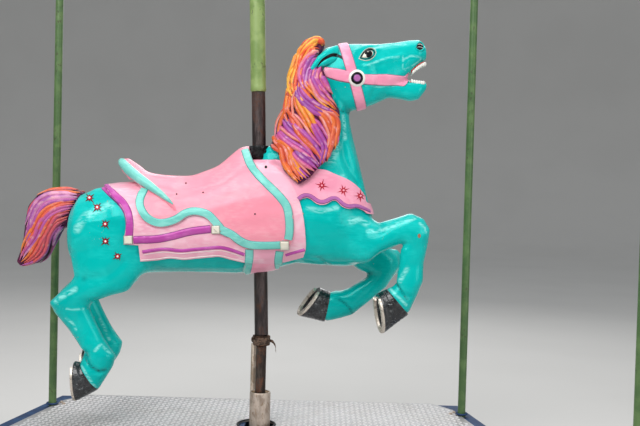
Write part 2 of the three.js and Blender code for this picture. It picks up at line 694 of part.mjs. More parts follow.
// Pole and its fittings, which carry the horse.
addPart(horse, 'horse_pole', roundBar(POLE_DIAMETER, POLE_BOTTOM, UPPER_SLEEVE_START), 'weatheredSteel');
addPart(horse, 'pole_sleeve', roundBar(UPPER_SLEEVE_DIAMETER, UPPER_SLEEVE_START + GAP, POLE_TOP), 'palePaint');
const collarRing = cut(solidOf(roundTube(COLLAR_DIAMETER, POLE_DIAMETER + 2 * GAP, COLLAR_BOTTOM, COLLAR_TOP)),
  [trunkSolid(saddleOuter + GAP)]);
addPart(horse, 'withers_collar', geometryOf(collarRing), 'blackIron');
addPart(upright, 'lower_rod', roundBar(LOWER_ROD_DIAMETER, LOWER_ROD_END, COUPLING_BOTTOM - GAP), 'weatheredSteel');

// The steady rod hangs from a lug on the coupling and runs through the deck behind the guide sleeve.
const [steadyX, steadyY] = STEADY_ROD_PLACE;
const steadyReach = Math.hypot(steadyX, steadyY);
const lug = block(0, -STEADY_LUG_WIDTH / 2, COUPLING_BOTTOM, steadyReach, STEADY_LUG_WIDTH / 2,
  COUPLING_BOTTOM + STEADY_LUG_HEIGHT);
lug.rotateZ(Math.atan2(steadyY, steadyX));
const lugEnd = roundBar(STEADY_LUG_WIDTH, COUPLING_BOTTOM, COUPLING_BOTTOM + STEADY_LUG_HEIGHT, 24, steadyX, steadyY);
const coupling = joined([roundBar(COUPLING_DIAMETER, COUPLING_BOTTOM, COUPLING_TOP), lug, lugEnd].map(solidOf));
addPart(upright, 'pole_coupling', geometryOf(coupling), 'weatheredSteel');
addPart(upright, 'steady_rod',
  roundBar(STEADY_ROD_DIAMETER, LOWER_ROD_END, COUPLING_BOTTOM - GAP, 20, steadyX, steadyY), 'galvanised');

// Half the length of the bay at a distance outward from the pole circle.
function halfLength(outward) {
  return (POLE_CIRCLE + outward) * SEAM_SLOPE;
}

// A flat shape given as [x, reach outward from the pole circle] points, anticlockwise from above.
function deckShape(points) {
  return new THREE.Shape(points.map(([x, outward]) => new THREE.Vector2(x, POLE_Y - outward)));
}

// A straight-sided solid from a flat shape between two heights.
function raised(shape, fromZ, toZ, curveSegments = 32) {
  const solid = new THREE.ExtrudeGeometry(shape, { depth: toZ - fromZ, bevelEnabled: false, curveSegments });
  solid.translate(0, 0, fromZ);
  return solid;
}

// Adds a round hole to a flat shape; inward is how far it lies from the pole circle towards the ring's middle.
function punch(shape, x, diameter, inward = 0) {
  const hole = new THREE.Path();
  hole.absarc(x, POLE_Y + inward, diameter / 2, 0, 2 * Math.PI, true);
  shape.holes.push(hole);
}

// Deck: tread plate on two edge beams, two seam beams and two joists.
const beamTop = DECK_HEIGHT - PLATE_THICKNESS;
const beamBottom = beamTop - SEAM_BEAM_HEIGHT;
const innerCorner = halfLength(-INNER_REACH) - SEAM_STRIP;
const outerCorner = halfLength(OUTER_REACH) - SEAM_STRIP;
const cutReach = CORNER_CUT[1] - INNER_REACH;
const cutCorner = halfLength(cutReach) - SEAM_STRIP;
const plateShape = deckShape([
  [-cutCorner, cutReach],
  [-outerCorner, OUTER_REACH],
  [outerCorner, OUTER_REACH],
  [cutCorner, cutReach],
  [innerCorner - CORNER_CUT[0], -INNER_REACH],
  [CORNER_CUT[0] - innerCorner, -INNER_REACH],
]);
punch(plateShape, POLE_X + DECK_HOLE_SHIFT, DECK_HOLE_DIAMETER);
const rodNotches = [];

// An edge beam ends on the outer sides of the seam beams.
function edgeBeam(nearReach, farReach) {
  const overhang = SEAM_BEAM_WIDTH / 2;
  const near = halfLength(nearReach) + overhang;
  const far = halfLength(farReach) + overhang;
  return raised(deckShape([[-near, nearReach], [-far, farReach], [far, farReach], [near, nearReach]]), 0, beamTop);
}
const innerBeamReach = EDGE_BEAM_WIDTH - INNER_REACH;
const outerBeamReach = OUTER_REACH - EDGE_BEAM_WIDTH;
addPart(deck, 'inner_edge_beam', edgeBeam(-INNER_REACH, innerBeamReach), 'bluePaint');
addPart(deck, 'outer_edge_beam', edgeBeam(outerBeamReach, OUTER_REACH), 'bluePaint');

for (const [name, side] of [['left', -1], ['right', 1]]) {
  const fromReach = innerBeamReach + GAP;
  const toReach = outerBeamReach - GAP;
  const half = SEAM_BEAM_WIDTH / 2;
  const seamShape = deckShape([
    [side * (halfLength(fromReach) - half), fromReach],
    [side * (halfLength(toReach) - half), toReach],
    [side * (halfLength(toReach) + half), toReach],
    [side * (halfLength(fromReach) + half), fromReach],
  ]);
  addPart(deck, `${name}_seam_beam`, raised(seamShape, beamBottom, beamTop), 'bluePaint');
  const joistX = POLE_X + side * JOIST_CENTRE;
  const joist = block(joistX - JOIST_WIDTH / 2, POLE_Y - toReach, beamBottom,
    joistX + JOIST_WIDTH / 2, POLE_Y - fromReach, beamTop);
  addPart(deck, `${name}_joist`, joist, 'bluePaint');
  for (const [row, outward] of [['inner', -INNER_ROD_REACH], ['outer', OUTER_ROD_REACH]]) {
    const rodX = side * (halfLength(outward) - ROD_INSET);
    const notch = solidOf(roundBar(DROP_ROD_DIAMETER + 2, 0, DECK_HEIGHT + 1, 16, rodX, POLE_Y - outward));
    rodNotches.push(notch);
    const rod = roundBar(DROP_ROD_DIAMETER, beamTop + GAP, DECK_HEIGHT + DROP_ROD_TOP, 16, rodX, POLE_Y - outward);
    addPart(deck, `drop_rod_${row}_${name}`, rod, 'olivePaint');
  }
}

const plate = cut(solidOf(raised(plateShape, beamTop + GAP, DECK_HEIGHT)), rodNotches);
addPart(deck, 'deck_plate', geometryOf(plate), 'treadPlate');

// Guide sleeve for the lower rod, on a plate bolted under the joists.
const basePlateTop = beamBottom - GAP;
const basePlateShape = deckShape([[-1, 1], [1, 1], [1, -1], [-1, -1]].map(([across, outward]) => [
  POLE_X + across * BASE_PLATE_SIZE / 2, outward * BASE_PLATE_SIZE / 2,
]));
punch(basePlateShape, POLE_X, BASE_PLATE_HOLE);
punch(basePlateShape, POLE_X + steadyX, STEADY_HOLE_DIAMETER, steadyY);
addPart(deck, 'sleeve_base_plate', raised(basePlateShape, basePlateTop - BASE_PLATE_THICKNESS, basePlateTop),
  'galvanised');

const guideTop = DECK_HEIGHT + GUIDE_TOP;
const guide = addPart(deck, 'guide_sleeve',
  roundTube(GUIDE_DIAMETER, GUIDE_BORE, basePlateTop + GAP, guideTop), 'galvanised');
const bushBore = LOWER_ROD_DIAMETER + 2 * BUSH_CLEARANCE;
const bush = addPart(deck, 'guide_bush',
  roundTube(GUIDE_BORE - 2 * GAP, bushBore, guideTop - 2 - BUSH_LENGTH, guideTop - 2), 'bronze');
const ring = addPart(deck, 'hole_ring',
  roundTube(DECK_HOLE_DIAMETER + 2 * HOLE_RING_WIDTH, DECK_HOLE_DIAMETER - 2, DECK_HEIGHT + GAP,
    DECK_HEIGHT + GAP + HOLE_RING_THICKNESS), 'blackIron');
for (const [piece, x] of [[guide, POLE_X], [bush, POLE_X], [ring, POLE_X + DECK_HOLE_SHIFT]]) {
  piece.position.set(x, POLE_Y, 0);
}

export default root;
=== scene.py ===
import logging
import math
import random
from dataclasses import dataclass
from enum import Enum
from typing import Callable, Iterable, Optional, Sequence

import bmesh
import bpy
import numpy as np
from mathutils import Matrix, Vector
from mathutils.bvhtree import BVHTree


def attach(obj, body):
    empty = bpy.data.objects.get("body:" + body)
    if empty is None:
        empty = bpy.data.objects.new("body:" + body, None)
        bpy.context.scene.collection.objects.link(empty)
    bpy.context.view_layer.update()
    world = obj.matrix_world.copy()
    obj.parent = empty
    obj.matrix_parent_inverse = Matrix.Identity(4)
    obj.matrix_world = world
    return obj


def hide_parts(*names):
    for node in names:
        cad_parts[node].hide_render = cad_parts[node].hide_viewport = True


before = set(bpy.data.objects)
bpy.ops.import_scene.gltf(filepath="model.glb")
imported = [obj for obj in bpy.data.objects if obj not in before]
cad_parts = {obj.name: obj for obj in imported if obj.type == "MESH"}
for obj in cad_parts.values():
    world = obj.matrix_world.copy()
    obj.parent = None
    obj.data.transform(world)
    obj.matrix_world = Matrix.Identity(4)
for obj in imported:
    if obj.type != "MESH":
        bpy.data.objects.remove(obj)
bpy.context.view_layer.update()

LOG = logging.getLogger("carousel_horse")

TAGS = ("edge", "hollow", "shine", "hair_tint")

Line = Sequence[tuple[float, float]]
Path = list[Vector]
Socket = bpy.types.NodeSocket


# Places on the horse


@dataclass(frozen=True)
class PoleFrame:
    """Millimetres from the pole's axis at the deck's top: x to the nose, y to the ring's middle, z up.

    The horse and its pole lean back about a pivot in the coupling, so they are built upright and leant at the end.
    """

    lean: float
    pole_x: float = 20.0
    pole_y: float = 283.5
    deck_top: float = 150.0
    pivot: float = 262.0

    def to_world(self, points: np.ndarray) -> np.ndarray:
        """Turns these millimetres into the frame's metres.

        Args:
            points: one row for each point.

        Returns:
            The rows in the frame.
        """
        x, y, z = points.T
        c, s, rise = math.cos(self.lean), math.sin(self.lean), z - self.pivot
        height = self.deck_top + self.pivot + x * s + rise * c
        return np.stack([self.pole_x + x * c - rise * s, self.pole_y + y, height], axis=1) / 1000

    def from_world(self, points: np.ndarray) -> np.ndarray:
        """Turns the frame's metres into these millimetres.

        Args:
            points: one row for each point.

        Returns:
            The rows in millimetres.
        """
        x, y, z = (points * 1000).T
        c, s = math.cos(self.lean), math.sin(self.lean)
        across, rise = x - self.pole_x, z - self.deck_top - self.pivot
        return np.stack([across * c + rise * s, y - self.pole_y, self.pivot - across * s + rise * c], axis=1)


HORSE = PoleFrame(math.radians(2.1))
UPRIGHT = PoleFrame(0.0)


class Side(Enum):
    """The horse's right side faces the outside of the ring, at negative y."""

    RIGHT = -1
    LEFT = 1

    @property
    def word(self) -> str:
        """What the side is called in a piece's name."""
        return self.name.lower()


@dataclass(frozen=True)
class SideView:
    """The station that the horse's side is drawn from; a drawn point falls on the horse along its ray."""

    eye_x: float = 184.8
    eye_z: float = 733.6
    distance: float = 2800.0

    def at(self, x: float, z: float, plane: float, depth: float) -> tuple[float, float]:
        """Carries a point drawn on one plane, plane mm out from the middle, to another plane."""
        scale = (self.distance - depth) / (self.distance - plane)
        return self.eye_x + (x - self.eye_x) * scale, self.eye_z + (z - self.eye_z) * scale

    def ray(self, x: float, z: float, plane: float, side: Side) -> tuple[Vector, Vector]:
        """The ray from the station through a drawn point, on either side of the horse."""
        eye = Vector((self.eye_x, side.value * self.distance, self.eye_z))
        aim = Vector((x, side.value * plane, z))
        return eye, (aim - eye).normalized()


VIEW = SideView()


# Lines


def turns(count: int) -> list[float]:
    """The angles of a full turn in count even steps."""
    return [math.tau * step / count for step in range(count)]


def smooth_line(points: Line, closed: bool = False, step: float = 4.0) -> list[tuple[float, float]]:
    """Runs a smooth curve through the points; a point given twice is a corner.

    Args:
        points: the drawn points in millimetres.
        closed: whether the last point joins the first.
        step: the distance between the points of the result.

    Returns:
        The points of the curve, about step apart.
    """
    same = 0.3
    drawn = list(points)
    if closed:
        corner = next((i for i in range(len(drawn) - 1) if drawn[i] == drawn[i + 1]), None)
        drawn = drawn + drawn[:1] if corner is None else drawn[corner + 1:] + drawn[:corner + 1]
    runs: list[list[tuple[float, float]]] = [[drawn[0]]]
    for before, after in zip(drawn, drawn[1:]):
        if before == after:
            runs.append([after])
        else:
            runs[-1].append(after)
    made: list[tuple[float, float]] = []
    for run in (run for run in runs if len(run) > 1):
        knots = [Vector(point) for point in run]
        whole = closed and len(runs) == 1
        first = knots[-2] if whole else 2 * knots[0] - knots[1]
        last = knots[1] if whole else 2 * knots[-1] - knots[-2]
        knots = [first, *knots, last]
        for a, b, c, d in zip(knots, knots[1:], knots[2:], knots[3:]):
            pieces = max(1, round((c - b).length / step))
            for piece in range(pieces):
                t = piece / pieces
                point = 0.5 * (2 * b + (c - a) * t + (2 * a - 5 * b + 4 * c - d) * t ** 2
                               + (3 * b - a - 3 * c + d) * t ** 3)
                made.append((point.x, point.y))
        made.append((run[-1][0], run[-1][1]))
    tidy = [made[0]]
    for point in made[1:]:
        if math.dist(point, tidy[-1]) > same:
            tidy.append(point)
    if closed and math.dist(tidy[0], tidy[-1]) < same:
        tidy.pop()
    return tidy


def even_path(path: Path, step: float, rounds: int = 4) -> Path:
    """Smooths a path in space a little and spaces its points evenly.

    Args:
        path: the points of the path.
        step: about how far apart the new points lie.
        rounds: how often the path is smoothed first.

    Returns:
        The new points, with the ends where they were.
    """
    points = np.array([tuple(p) for p in path])
    for _ in range(rounds):
        points[1:-1] = points[1:-1] * 0.5 + (points[:-2] + points[2:]) * 0.25
    lengths = np.concatenate([[0], np.cumsum(np.linalg.norm(np.diff(points, axis=0), axis=1))])
    count = max(2, round(lengths[-1] / step)) + 1
    wanted = np.linspace(0, lengths[-1], count)
    spaced = np.stack([np.interp(wanted, lengths, points[:, axis]) for axis in range(3)], axis=1)
    return [Vector(p) for p in spaced]


def beside(line: Sequence[tuple[float, float]], offset: float, pinch: float = 0.0) -> list[tuple[float, float]]:
    """A line beside another, to its right hand where offset is above 0.

    Args:
        line: the drawn points.
        offset: the distance between the lines.
        pinch: how much closer they are at both ends, from 0 to 1.

    Returns:
        The points of the new line.
    """
    moved = []
    last = len(line) - 1
    for place, (x, z) in enumerate(line):
        ax, az = line[max(0, place - 1)]
        bx, bz = line[min(last, place + 1)]
        length = math.hypot(bx - ax, bz - az) or 1.0
        away = offset * (1 - pinch + pinch * math.sin(math.pi * place / last))
        moved.append((x + (bz - az) / length * away, z - (bx - ax) / length * away))
    return moved


# Forms


class Form:
    """A mesh in millimetres, with what it takes to grow, smooth, join and cut it."""

    def __init__(self, mesh: bpy.types.Mesh) -> None:
        """Wraps a mesh."""
        self.mesh = mesh
        self._tree: Optional[BVHTree] = None

    @classmethod
    def of(cls, points: Sequence, faces: Sequence) -> "Form":
        """Makes a form from its points and its faces.

        Args:
            points: the places of its vertices.
            faces: the numbers of each face's vertices.

        Returns:
            The form.
        """
        mesh = bpy.data.meshes.new("form")
        mesh.from_pydata([tuple(p) for p in points], [], [tuple(int(i) for i in f) for f in faces])
        mesh.update()
        return cls(mesh)

    @classmethod
    def of_nodes(cls, names: Iterable[str], space: PoleFrame = HORSE) -> "Form":
        """Copies CAD nodes into one form.

        Args:
            names: the nodes.
            space: the millimetres that it is given in.

        Returns:
            The form.
        """
        gathered = bmesh.new()
        for name in names:
            gathered.from_mesh(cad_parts[name].data)
        bmesh.ops.remove_doubles(gathered, verts=gathered.verts, dist=1e-6)
        mesh = bpy.data.meshes.new("nodes")
        gathered.to_mesh(mesh)
        gathered.free()
        form = cls(mesh)
        form.points = space.from_world(form.points)
        return form

    @staticmethod
    def _read(items: bpy.types.bpy_prop_collection, what: str, width: int, kind: type = np.float64) -> np.ndarray:
        """Reads one property of all of a mesh's vertices, edges, corners or faces.

        Args:
            items: what it is read from.
            what: the property.
            width: how many numbers each has.
            kind: the type of the numbers.

        Returns:
            One row for each of them.
        """
        flat = np.zeros(len(items) * width, dtype=kind)
        items.foreach_get(what, flat)
        return flat.reshape(-1, width)

    @property
    def points(self) -> np.ndarray:
        """The places of the vertices."""
        return self._read(self.mesh.vertices, "co", 3)

    @points.setter
    def points(self, places: np.ndarray) -> None:
        """Moves the vertices."""
        self.mesh.vertices.foreach_set("co", places.astype(np.float32).ravel())
        self.mesh.update()
        self._tree = None

    @property
    def normals(self) -> np.ndarray:
        """The directions that the surface faces at its vertices."""
        return self._read(self.mesh.vertex_normals, "vector", 3)

    @property
    def edges(self) -> np.ndarray:
        """The pairs of vertices that edges join."""
        return self._read(self.mesh.edges, "vertices", 2, np.int64)

    @property
    def tree(self) -> BVHTree:
        """The search tree of the surface, made when it is first asked for."""
        if self._tree is None:
            self._tree = BVHTree.FromPolygons(
                [Vector(p) for p in self.points], [tuple(f.vertices) for f in self.mesh.polygons])
        return self._tree

    def copy(self) -> "Form":
        """A form with a mesh of its own."""
        return Form(self.mesh.copy())

    def grown(self, amount: float) -> "Form":
        """A copy with its surface moved outwards."""
        form = self.copy()
        form.points = self.points + self.normals * amount
        return form

    def joined(self, *others: "Form") -> "Form":
        """A form with several forms' meshes side by side, and the numbers that they carry.

        Args:
            others: what is put beside this form.

        Returns:
            The whole.
        """
        forms = (self, *others)
        names = {layer.name for form in forms for layer in form.mesh.attributes if layer.name in TAGS}
        corners, sizes, start = [], [], 0
        for form in forms:
            corners.append(self._read(form.mesh.loops, "vertex_index", 1, np.int32)[:, 0] + start)
            sizes.append(self._read(form.mesh.polygons, "loop_total", 1, np.int32)[:, 0])
            start += len(form.mesh.vertices)
        corner, size = np.concatenate(corners), np.concatenate(sizes)
        mesh = bpy.data.meshes.new("joined")
        mesh.vertices.add(start)
        mesh.loops.add(len(corner))
        mesh.polygons.add(len(size))
        mesh.loops.foreach_set("vertex_index", corner)
        mesh.polygons.foreach_set("loop_start", np.concatenate([[0], np.cumsum(size)[:-1]]).astype(np.int32))
        mesh.polygons.foreach_set("loop_total", size)
        made = Form(mesh)
        made.points = np.concatenate([form.points for form in forms])
        mesh.update(calc_edges=True)
        for name in sorted(names):
            made.tagged(name, np.concatenate([form.tag(name) for form in forms]))
        return made

    def _through(self, kind: str, settings: dict, other: Optional["Form"] = None) -> "Form":
        """Runs one modifier and keeps its result.

        Args:
            kind: the modifier's type.
            settings: its settings by name.
            other: the form that it works with, if any.

        Returns:
            The new form.
        """
        holders = [bpy.data.objects.new("holder", form.mesh) for form in (self, other) if form is not None]
        for holder in holders:
            bpy.context.scene.collection.objects.link(holder)
        modifier = holders[0].modifiers.new("step", kind)
        for name, value in settings.items():
            setattr(modifier, name, value)
        if other is not None:
            modifier.object = holders[1]
        shown = holders[0].evaluated_get(bpy.context.evaluated_depsgraph_get())
        mesh = bpy.data.meshes.new_from_object(shown)
        for holder in holders:
            bpy.data.objects.remove(holder)
        return Form(mesh)

    def fused(self, voxel: float) -> "Form":
        """One closed skin over everything in the form."""
        return self._through("REMESH", {"mode": "VOXEL", "voxel_size": voxel})

    def common(self, other: "Form") -> "Form":
        """What lies in both forms."""
        return self._through("BOOLEAN", {"operation": "INTERSECT", "solver": "MANIFOLD"}, other)

    def less(self, other: "Form") -> "Form":
        """What lies in this form and not in the other."""
        return self._through("BOOLEAN", {"operation": "DIFFERENCE", "solver": "MANIFOLD"}, other)

    def middles(self, points: np.ndarray, pairs: np.ndarray) -> np.ndarray:
        """The mean place of each vertex's neighbours.

        Args:
            points: one row of numbers for each vertex.
            pairs: the vertices that edges join.

        Returns:
            The mean rows, 0 for a vertex without neighbours.
        """
        count = len(points)
        share = np.bincount(pairs.ravel(), minlength=count).clip(1)
        first, second = pairs.T
        return np.stack([
            (np.bincount(first, row[second], count) + np.bincount(second, row[first], count)) / share
            for row in points.T
        ], axis=1)

    def smoothed(self, rounds: int, weights: Optional[np.ndarray] = None) -> "Form":
        """A copy with its bumps evened out and its volume kept.

        Args:
            rounds: how many pairs of smoothing and restoring steps.
            weights: how strongly each vertex takes part, 1 where it is left out.

        Returns:
            The smoothed copy.
        """
        form = self.copy()
        points = form.points
        pairs = form.edges
        weight = 1.0 if weights is None else weights[:, None]
        for _ in range(rounds):
            for pull in (0.5, -0.52):
                points = points + (self.middles(points, pairs) - points) * pull * weight
        form.points = points
        return form

    def eased(self, path: Path, reach: float, rounds: int) -> "Form":
        """A copy that flows smoothly near a path: folds there are filled and corners rounded off.

        Args:
            path: the middle of the eased strip.
            reach: how far the easing spreads from it.
            rounds: how many times the strip is evened out.

        Returns:
            The eased copy.
        """
        form = self.copy()
        pull = form.near(path, reach)
        chosen = np.flatnonzero(pull > 0.02)
        place_of = np.full(len(pull), -1)
        place_of[chosen] = np.arange(len(chosen))
        pairs = place_of[form.edges]
        pairs = pairs[(pairs >= 0).all(axis=1)]
        points = form.points
        part = points[chosen]
        for _ in range(rounds):
            part += (self.middles(part, pairs) - part) * pull[chosen, None] * 0.6
        points[chosen] = part
        form.points = points
        return form

    def hollows(self) -> np.ndarray:
        """How deep each vertex sits in a crease.

        Returns:
            One number for each vertex, 0 on flats and ridges.
        """
        pairs = self.edges
        depth = np.einsum("ij,ij->i", self.middles(self.points, pairs) - self.points, self.normals)[:, None]
        for _ in range(14):
            depth = self.middles(depth, pairs) * 0.7 + depth * 0.3
        return depth[:, 0].clip(0)

    def near(self, path: Path, reach: float) -> np.ndarray:
        """How close each vertex is to a path, from 1 on it to 0 well away.

        Args:
            path: its points.
            reach: the distance where closeness falls to about a third.

        Returns:
            One number for each vertex.
        """
        points = self.points
        closest = np.full(len(points), 1e9)
        for step in path:
            closest = np.minimum(closest, ((points - np.array(step)) ** 2).sum(axis=1))
        return np.exp(-closest / reach ** 2)

    def tagged(self, name: str, values: np.ndarray) -> "Form":
        """Stores a number for each vertex, which a material can read."""
        layer = self.mesh.attributes.get(name) or self.mesh.attributes.new(name, "FLOAT", "POINT")
        layer.data.foreach_set("value", values.astype(np.float32))
        return self

    def tag(self, name: str) -> np.ndarray:
        """Reads a stored number for each vertex, 0 where there is none."""
        values = np.zeros(len(self.mesh.vertices), dtype=np.float32)
        layer = self.mesh.attributes.get(name)
        if layer is not None:
            layer.data.foreach_get("value", values)
        return values

    def above(self, point: Vector, normal: Vector, reach: float = 28.0) -> Vector:
        """The outermost surface over a point, looking back along a direction, or the point itself."""
        hit = self.tree.ray_cast(point + normal * reach, -normal, reach * 1.7)[0]
        return hit if hit is not None else point

    def nearest(self, point: Vector) -> tuple[Vector, Vector]:
        """The closest point of the surface, and the way that the surface faces there."""
        place, normal, _, _ = self.tree.find_nearest(point)
        return place, normal

    def seen(self, x: float, z: float, plane: float, side: Side) -> Optional[Vector]:
        """Where a drawn point falls on the surface, or None beside it."""
        origin, direction = VIEW.ray(x, z, plane, side)
        return self.tree.ray_cast(origin, direction)[0]

    def seen_path(self, line: Line, plane: float, side: Side) -> Path:
        """Where a drawn line falls on the surface."""
        hits = (self.seen(x, z, plane, side) for x, z in smooth_line(line))
        return [hit for hit in hits if hit is not None]


def loft(rings: Sequence[Sequence], closed: bool = False) -> Form:
    """Joins rings of as many points each into one form, with its faces turned outwards.

    Args:
        rings: the points of each ring, in the same order.
        closed: whether the last ring joins the first; both get a cap where it doesn't.

    Returns:
        One closed form.
    """
    rows, count = len(rings), len(rings[0])
    faces: list[list[int]] = []
    for row in range(rows if closed else rows - 1):
        a, b = row * count, (row + 1) % rows * count
        faces += [[a + i, a + (i + 1) % count, b + (i + 1) % count, b + i] for i in range(count)]
    if not closed:
        faces += [list(range(count))[::-1], [(rows - 1) * count + i for i in range(count)]]
    mesh = Form.of([point for ring in rings for point in ring], faces).mesh
    gathered = bmesh.new()
    gathered.from_mesh(mesh)
    bmesh.ops.recalc_face_normals(gathered, faces=gathered.faces)
    gathered.to_mesh(mesh)
    gathered.free()
    return Form(mesh)


def prism(outline: Line, plane: float, reach: float = 320.0) -> Form:
    """A drawn outline carried through the horse along the side view's rays.

    Args:
        outline: the closed outline, in millimetres.
        plane: how far out from the middle it is drawn.
        reach: how far it reaches to either side.

    Returns:
        A closed form, the same on both sides.
    """
    line = smooth_line(outline, closed=True)
    rings = []
    for y in (-reach, 0.0, reach):
        spots = (VIEW.at(x, z, plane, abs(y)) for x, z in line)
        rings.append([(px, y, pz) for px, pz in spots])
    return loft(rings)


def relief(skin: Form, outline: Form, height: float, depth: float = 2.0) -> Form:
    """A raised layer of even height on a skin, inside an outline's prism."""
    raised = skin.grown(height).common(outline)
    return raised.less(skin.grown(-depth))


def dome(roundness: float) -> Callable[[float], float]:
    """A cross-section from -1 to 1: 2 gives a half round, 8 a flat strap with soft edges."""
    return lambda across: max(0.0, 1 - abs(across) ** roundness) ** (1 / max(1.0, roundness / 2))


@dataclass
class Ribbon:
    """A strip laid on a surface along a path.

    Attributes:
        width: its width in millimetres, or (share of the way, width) pairs.
        height: how far its middle stands up.
        roundness: 2 for a half round, 8 for a flat strap.
        across: how many points make its cross-section.
        step: the distance between its cross-sections.
        sink: how far its underside lies below the surface.
        lift: how far its edges stand above the surface.
        loop: whether its end joins its start.
    """

    width: float | Line
    height: float
    roundness: float = 2.0
    across: int = 9
    step: float = 3.0
    sink: float = 1.5
    lift: float = 0.0
    loop: bool = False

    def on(self, surface: Form, path: Path, rounds: int = 4) -> Form:
        """Builds the strip.

        Args:
            surface: what it lies on.
            path: the points of its middle line.
            rounds: how much the line is smoothed first.

        Returns:
            One closed form.
        """
        route = even_path(path, self.step, rounds)
        profile = dome(self.roundness)
        shares = np.linspace(-1, 1, self.across)
        rings: list[list[Vector]] = []
        last = len(route) - 1
        facings = np.array([tuple(surface.nearest(spot)[1]) for spot in route])
        for _ in range(6):
            facings[1:-1] = facings[1:-1] * 0.4 + (facings[:-2] + facings[2:]) * 0.3
        for place, middle in enumerate(route):
            if self.loop:
                tangent = route[(place + 1) % last] - route[place - 1 if place else last - 1]
            else:
                tangent = route[min(place + 1, last)] - route[max(place - 1, 0)]
            normal = Vector(facings[place]).normalized()
            sideways = normal.cross(tangent).normalized()
            width = self.width
            if not isinstance(width, (int, float)):
                width = float(np.interp(place / last, *zip(*width)))
            tops, unders = [], []
            for share in shares:
                spot = surface.above(middle + sideways * share * width / 2, normal)
                tops.append(spot + normal * (self.lift + self.height * profile(share)))
                unders.append(spot - normal * self.sink)
            rings.append(tops + unders[::-1])
        if self.loop:
            rings.pop()
        return loft(rings, self.loop).tagged("edge", np.tile(np.abs(shares), 2 * len(rings)))


def patch(surface: Form, outline: Line, plane: float, side: Side, height: float, roundness: float = 3.0,
          rings: int = 5, sink: float = 1.5, lift: float = 0.0) -> Form:
    """A small raised patch with a star-shaped outline, laid on a surface.

    Args:
        surface: what it lies on.
        outline: its closed outline as drawn.
        plane: how far out it is drawn.
        side: the side of the horse that it is on.
        height: how far its middle stands up above its edge.
        roundness: 2 for a round dome, more for a flat top.
        rings: how many rings of faces it has.
        sink: how far its underside lies below the surface.
        lift: how far its edge stands above the surface.

    Returns:
        One closed form.
    """
    drawn = np.array(outline)
    middle = drawn.mean(axis=0)
    profile = dome(roundness)

    def ring(share: float, rise: float) -> list[Vector]:
        """One ring of points over the surface."""
        spots = []
        for x, z in middle + (drawn - middle) * share:
            hit = surface.seen(x, z, plane, side)
            if hit is None:
                origin, direction = VIEW.ray(x, z, plane, side)
                hit = origin + direction * ((side.value * plane - origin.y) / direction.y)
            place, normal = surface.nearest(hit)
            spots.append(place + normal * rise)
        return spots

    shares = [0.04, *(number / rings for number in range(1, rings + 1))]
    made = [ring(share, lift + height * profile(share)) for share in shares] + [ring(1.0, -sink), ring(0.04, -sink)]
    edges = np.repeat([*shares, 1.0, 1.0], len(outline))
    return loft(made).tagged("edge", edges)


def circle(x: float, z: float, radius: float, count: int = 24, radius_z: Optional[float] = None) -> list:
    """A drawn circle or ellipse."""
    tall = radius if radius_z is None else radius_z
    return [(x + radius * math.cos(t), z + tall * math.sin(t)) for t in turns(count)]


def lathe(profile: Line, sides: int = 48, x: float = 0.0, y: float = 0.0) -> Form:
    """A round form turned about an upright axis.

    Args:
        profile: its (radius, height) pairs; a loop where the last is the first.
        sides: how many faces go round it.
        x: the place of its axis.
        y: the same, across.

    Returns:
        One closed form.
    """
    rings = [[(x + r * math.cos(t), y + r * math.sin(t), height) for t in turns(sides)] for r, height in profile]
    closed = profile[0] == profile[-1]
    return loft(rings[:-1] if closed else rings, closed)


def tube(path: Path, radii: Sequence[float], sides: int = 16, flat: float = 1.0) -> Form:
    """A round body along a path, with closed ends.

    Args:
        path: the points of its middle line.
        radii: its radius at each point.
        sides: how many faces go round it.
        flat: its thickness as a share of its width.

    Returns:
        One closed form.
    """
    rings = []
    last = len(path) - 1
    for place, middle in enumerate(path):
        tangent = (path[min(place + 1, last)] - path[max(place - 1, 0)]).normalized()
        first = tangent.cross(Vector((0, 1, 0)))
        if first.length < 1e-3:
            first = tangent.cross(Vector((1, 0, 0)))
        first.normalize()
        second = tangent.cross(first).normalized() * flat
        rings.append([middle + (first * math.cos(t) + second * math.sin(t)) * radii[place] for t in turns(sides)])
    return loft(rings)


# Colours and finishes


def linear(colour: str) -> tuple[float, float, float, float]:
    """Turns an sRGB hex value into a linear colour."""
    parts = [int(colour[i:i + 2], 16) / 255 for i in (1, 3, 5)]
    red, green, blue = (c / 12.92 if c <= 0.04045 else ((c + 0.055) / 1.055) ** 2.4 for c in parts)
    return red, green, blue, 1.0


def node(tree: bpy.types.NodeTree, kind: str, settings: Optional[dict] = None,
         inputs: Optional[dict] = None) -> bpy.types.Node:
    """Adds a node to a material.

    Args:
        tree: the material's nodes.
        kind: the node's type.
        settings: its own settings; "stops" is a colour ramp's list of (place, colour).
        inputs: a value, an sRGB hex colour or another node's output for each input.

    Returns:
        The new node.
    """
    made = tree.nodes.new(kind)
    for name, value in (settings or {}).items():
        if name == "stops":
            ramp = made.color_ramp.elements
            for place, colour in value[1:-1]:
                ramp.new(place).color = linear(colour)
            ramp[0].position, ramp[0].color = value[0][0], linear(value[0][1])
            ramp[-1].position, ramp[-1].color = value[-1][0], linear(value[-1][1])
        else:
            setattr(made, name, value)
    for name, value in (inputs or {}).items():
        socket = made.inputs[name]
        if isinstance(value, bpy.types.NodeSocket):
            tree.links.new(value, socket)
        else:
            socket.default_value = linear(value) if isinstance(value, str) else value
    return made


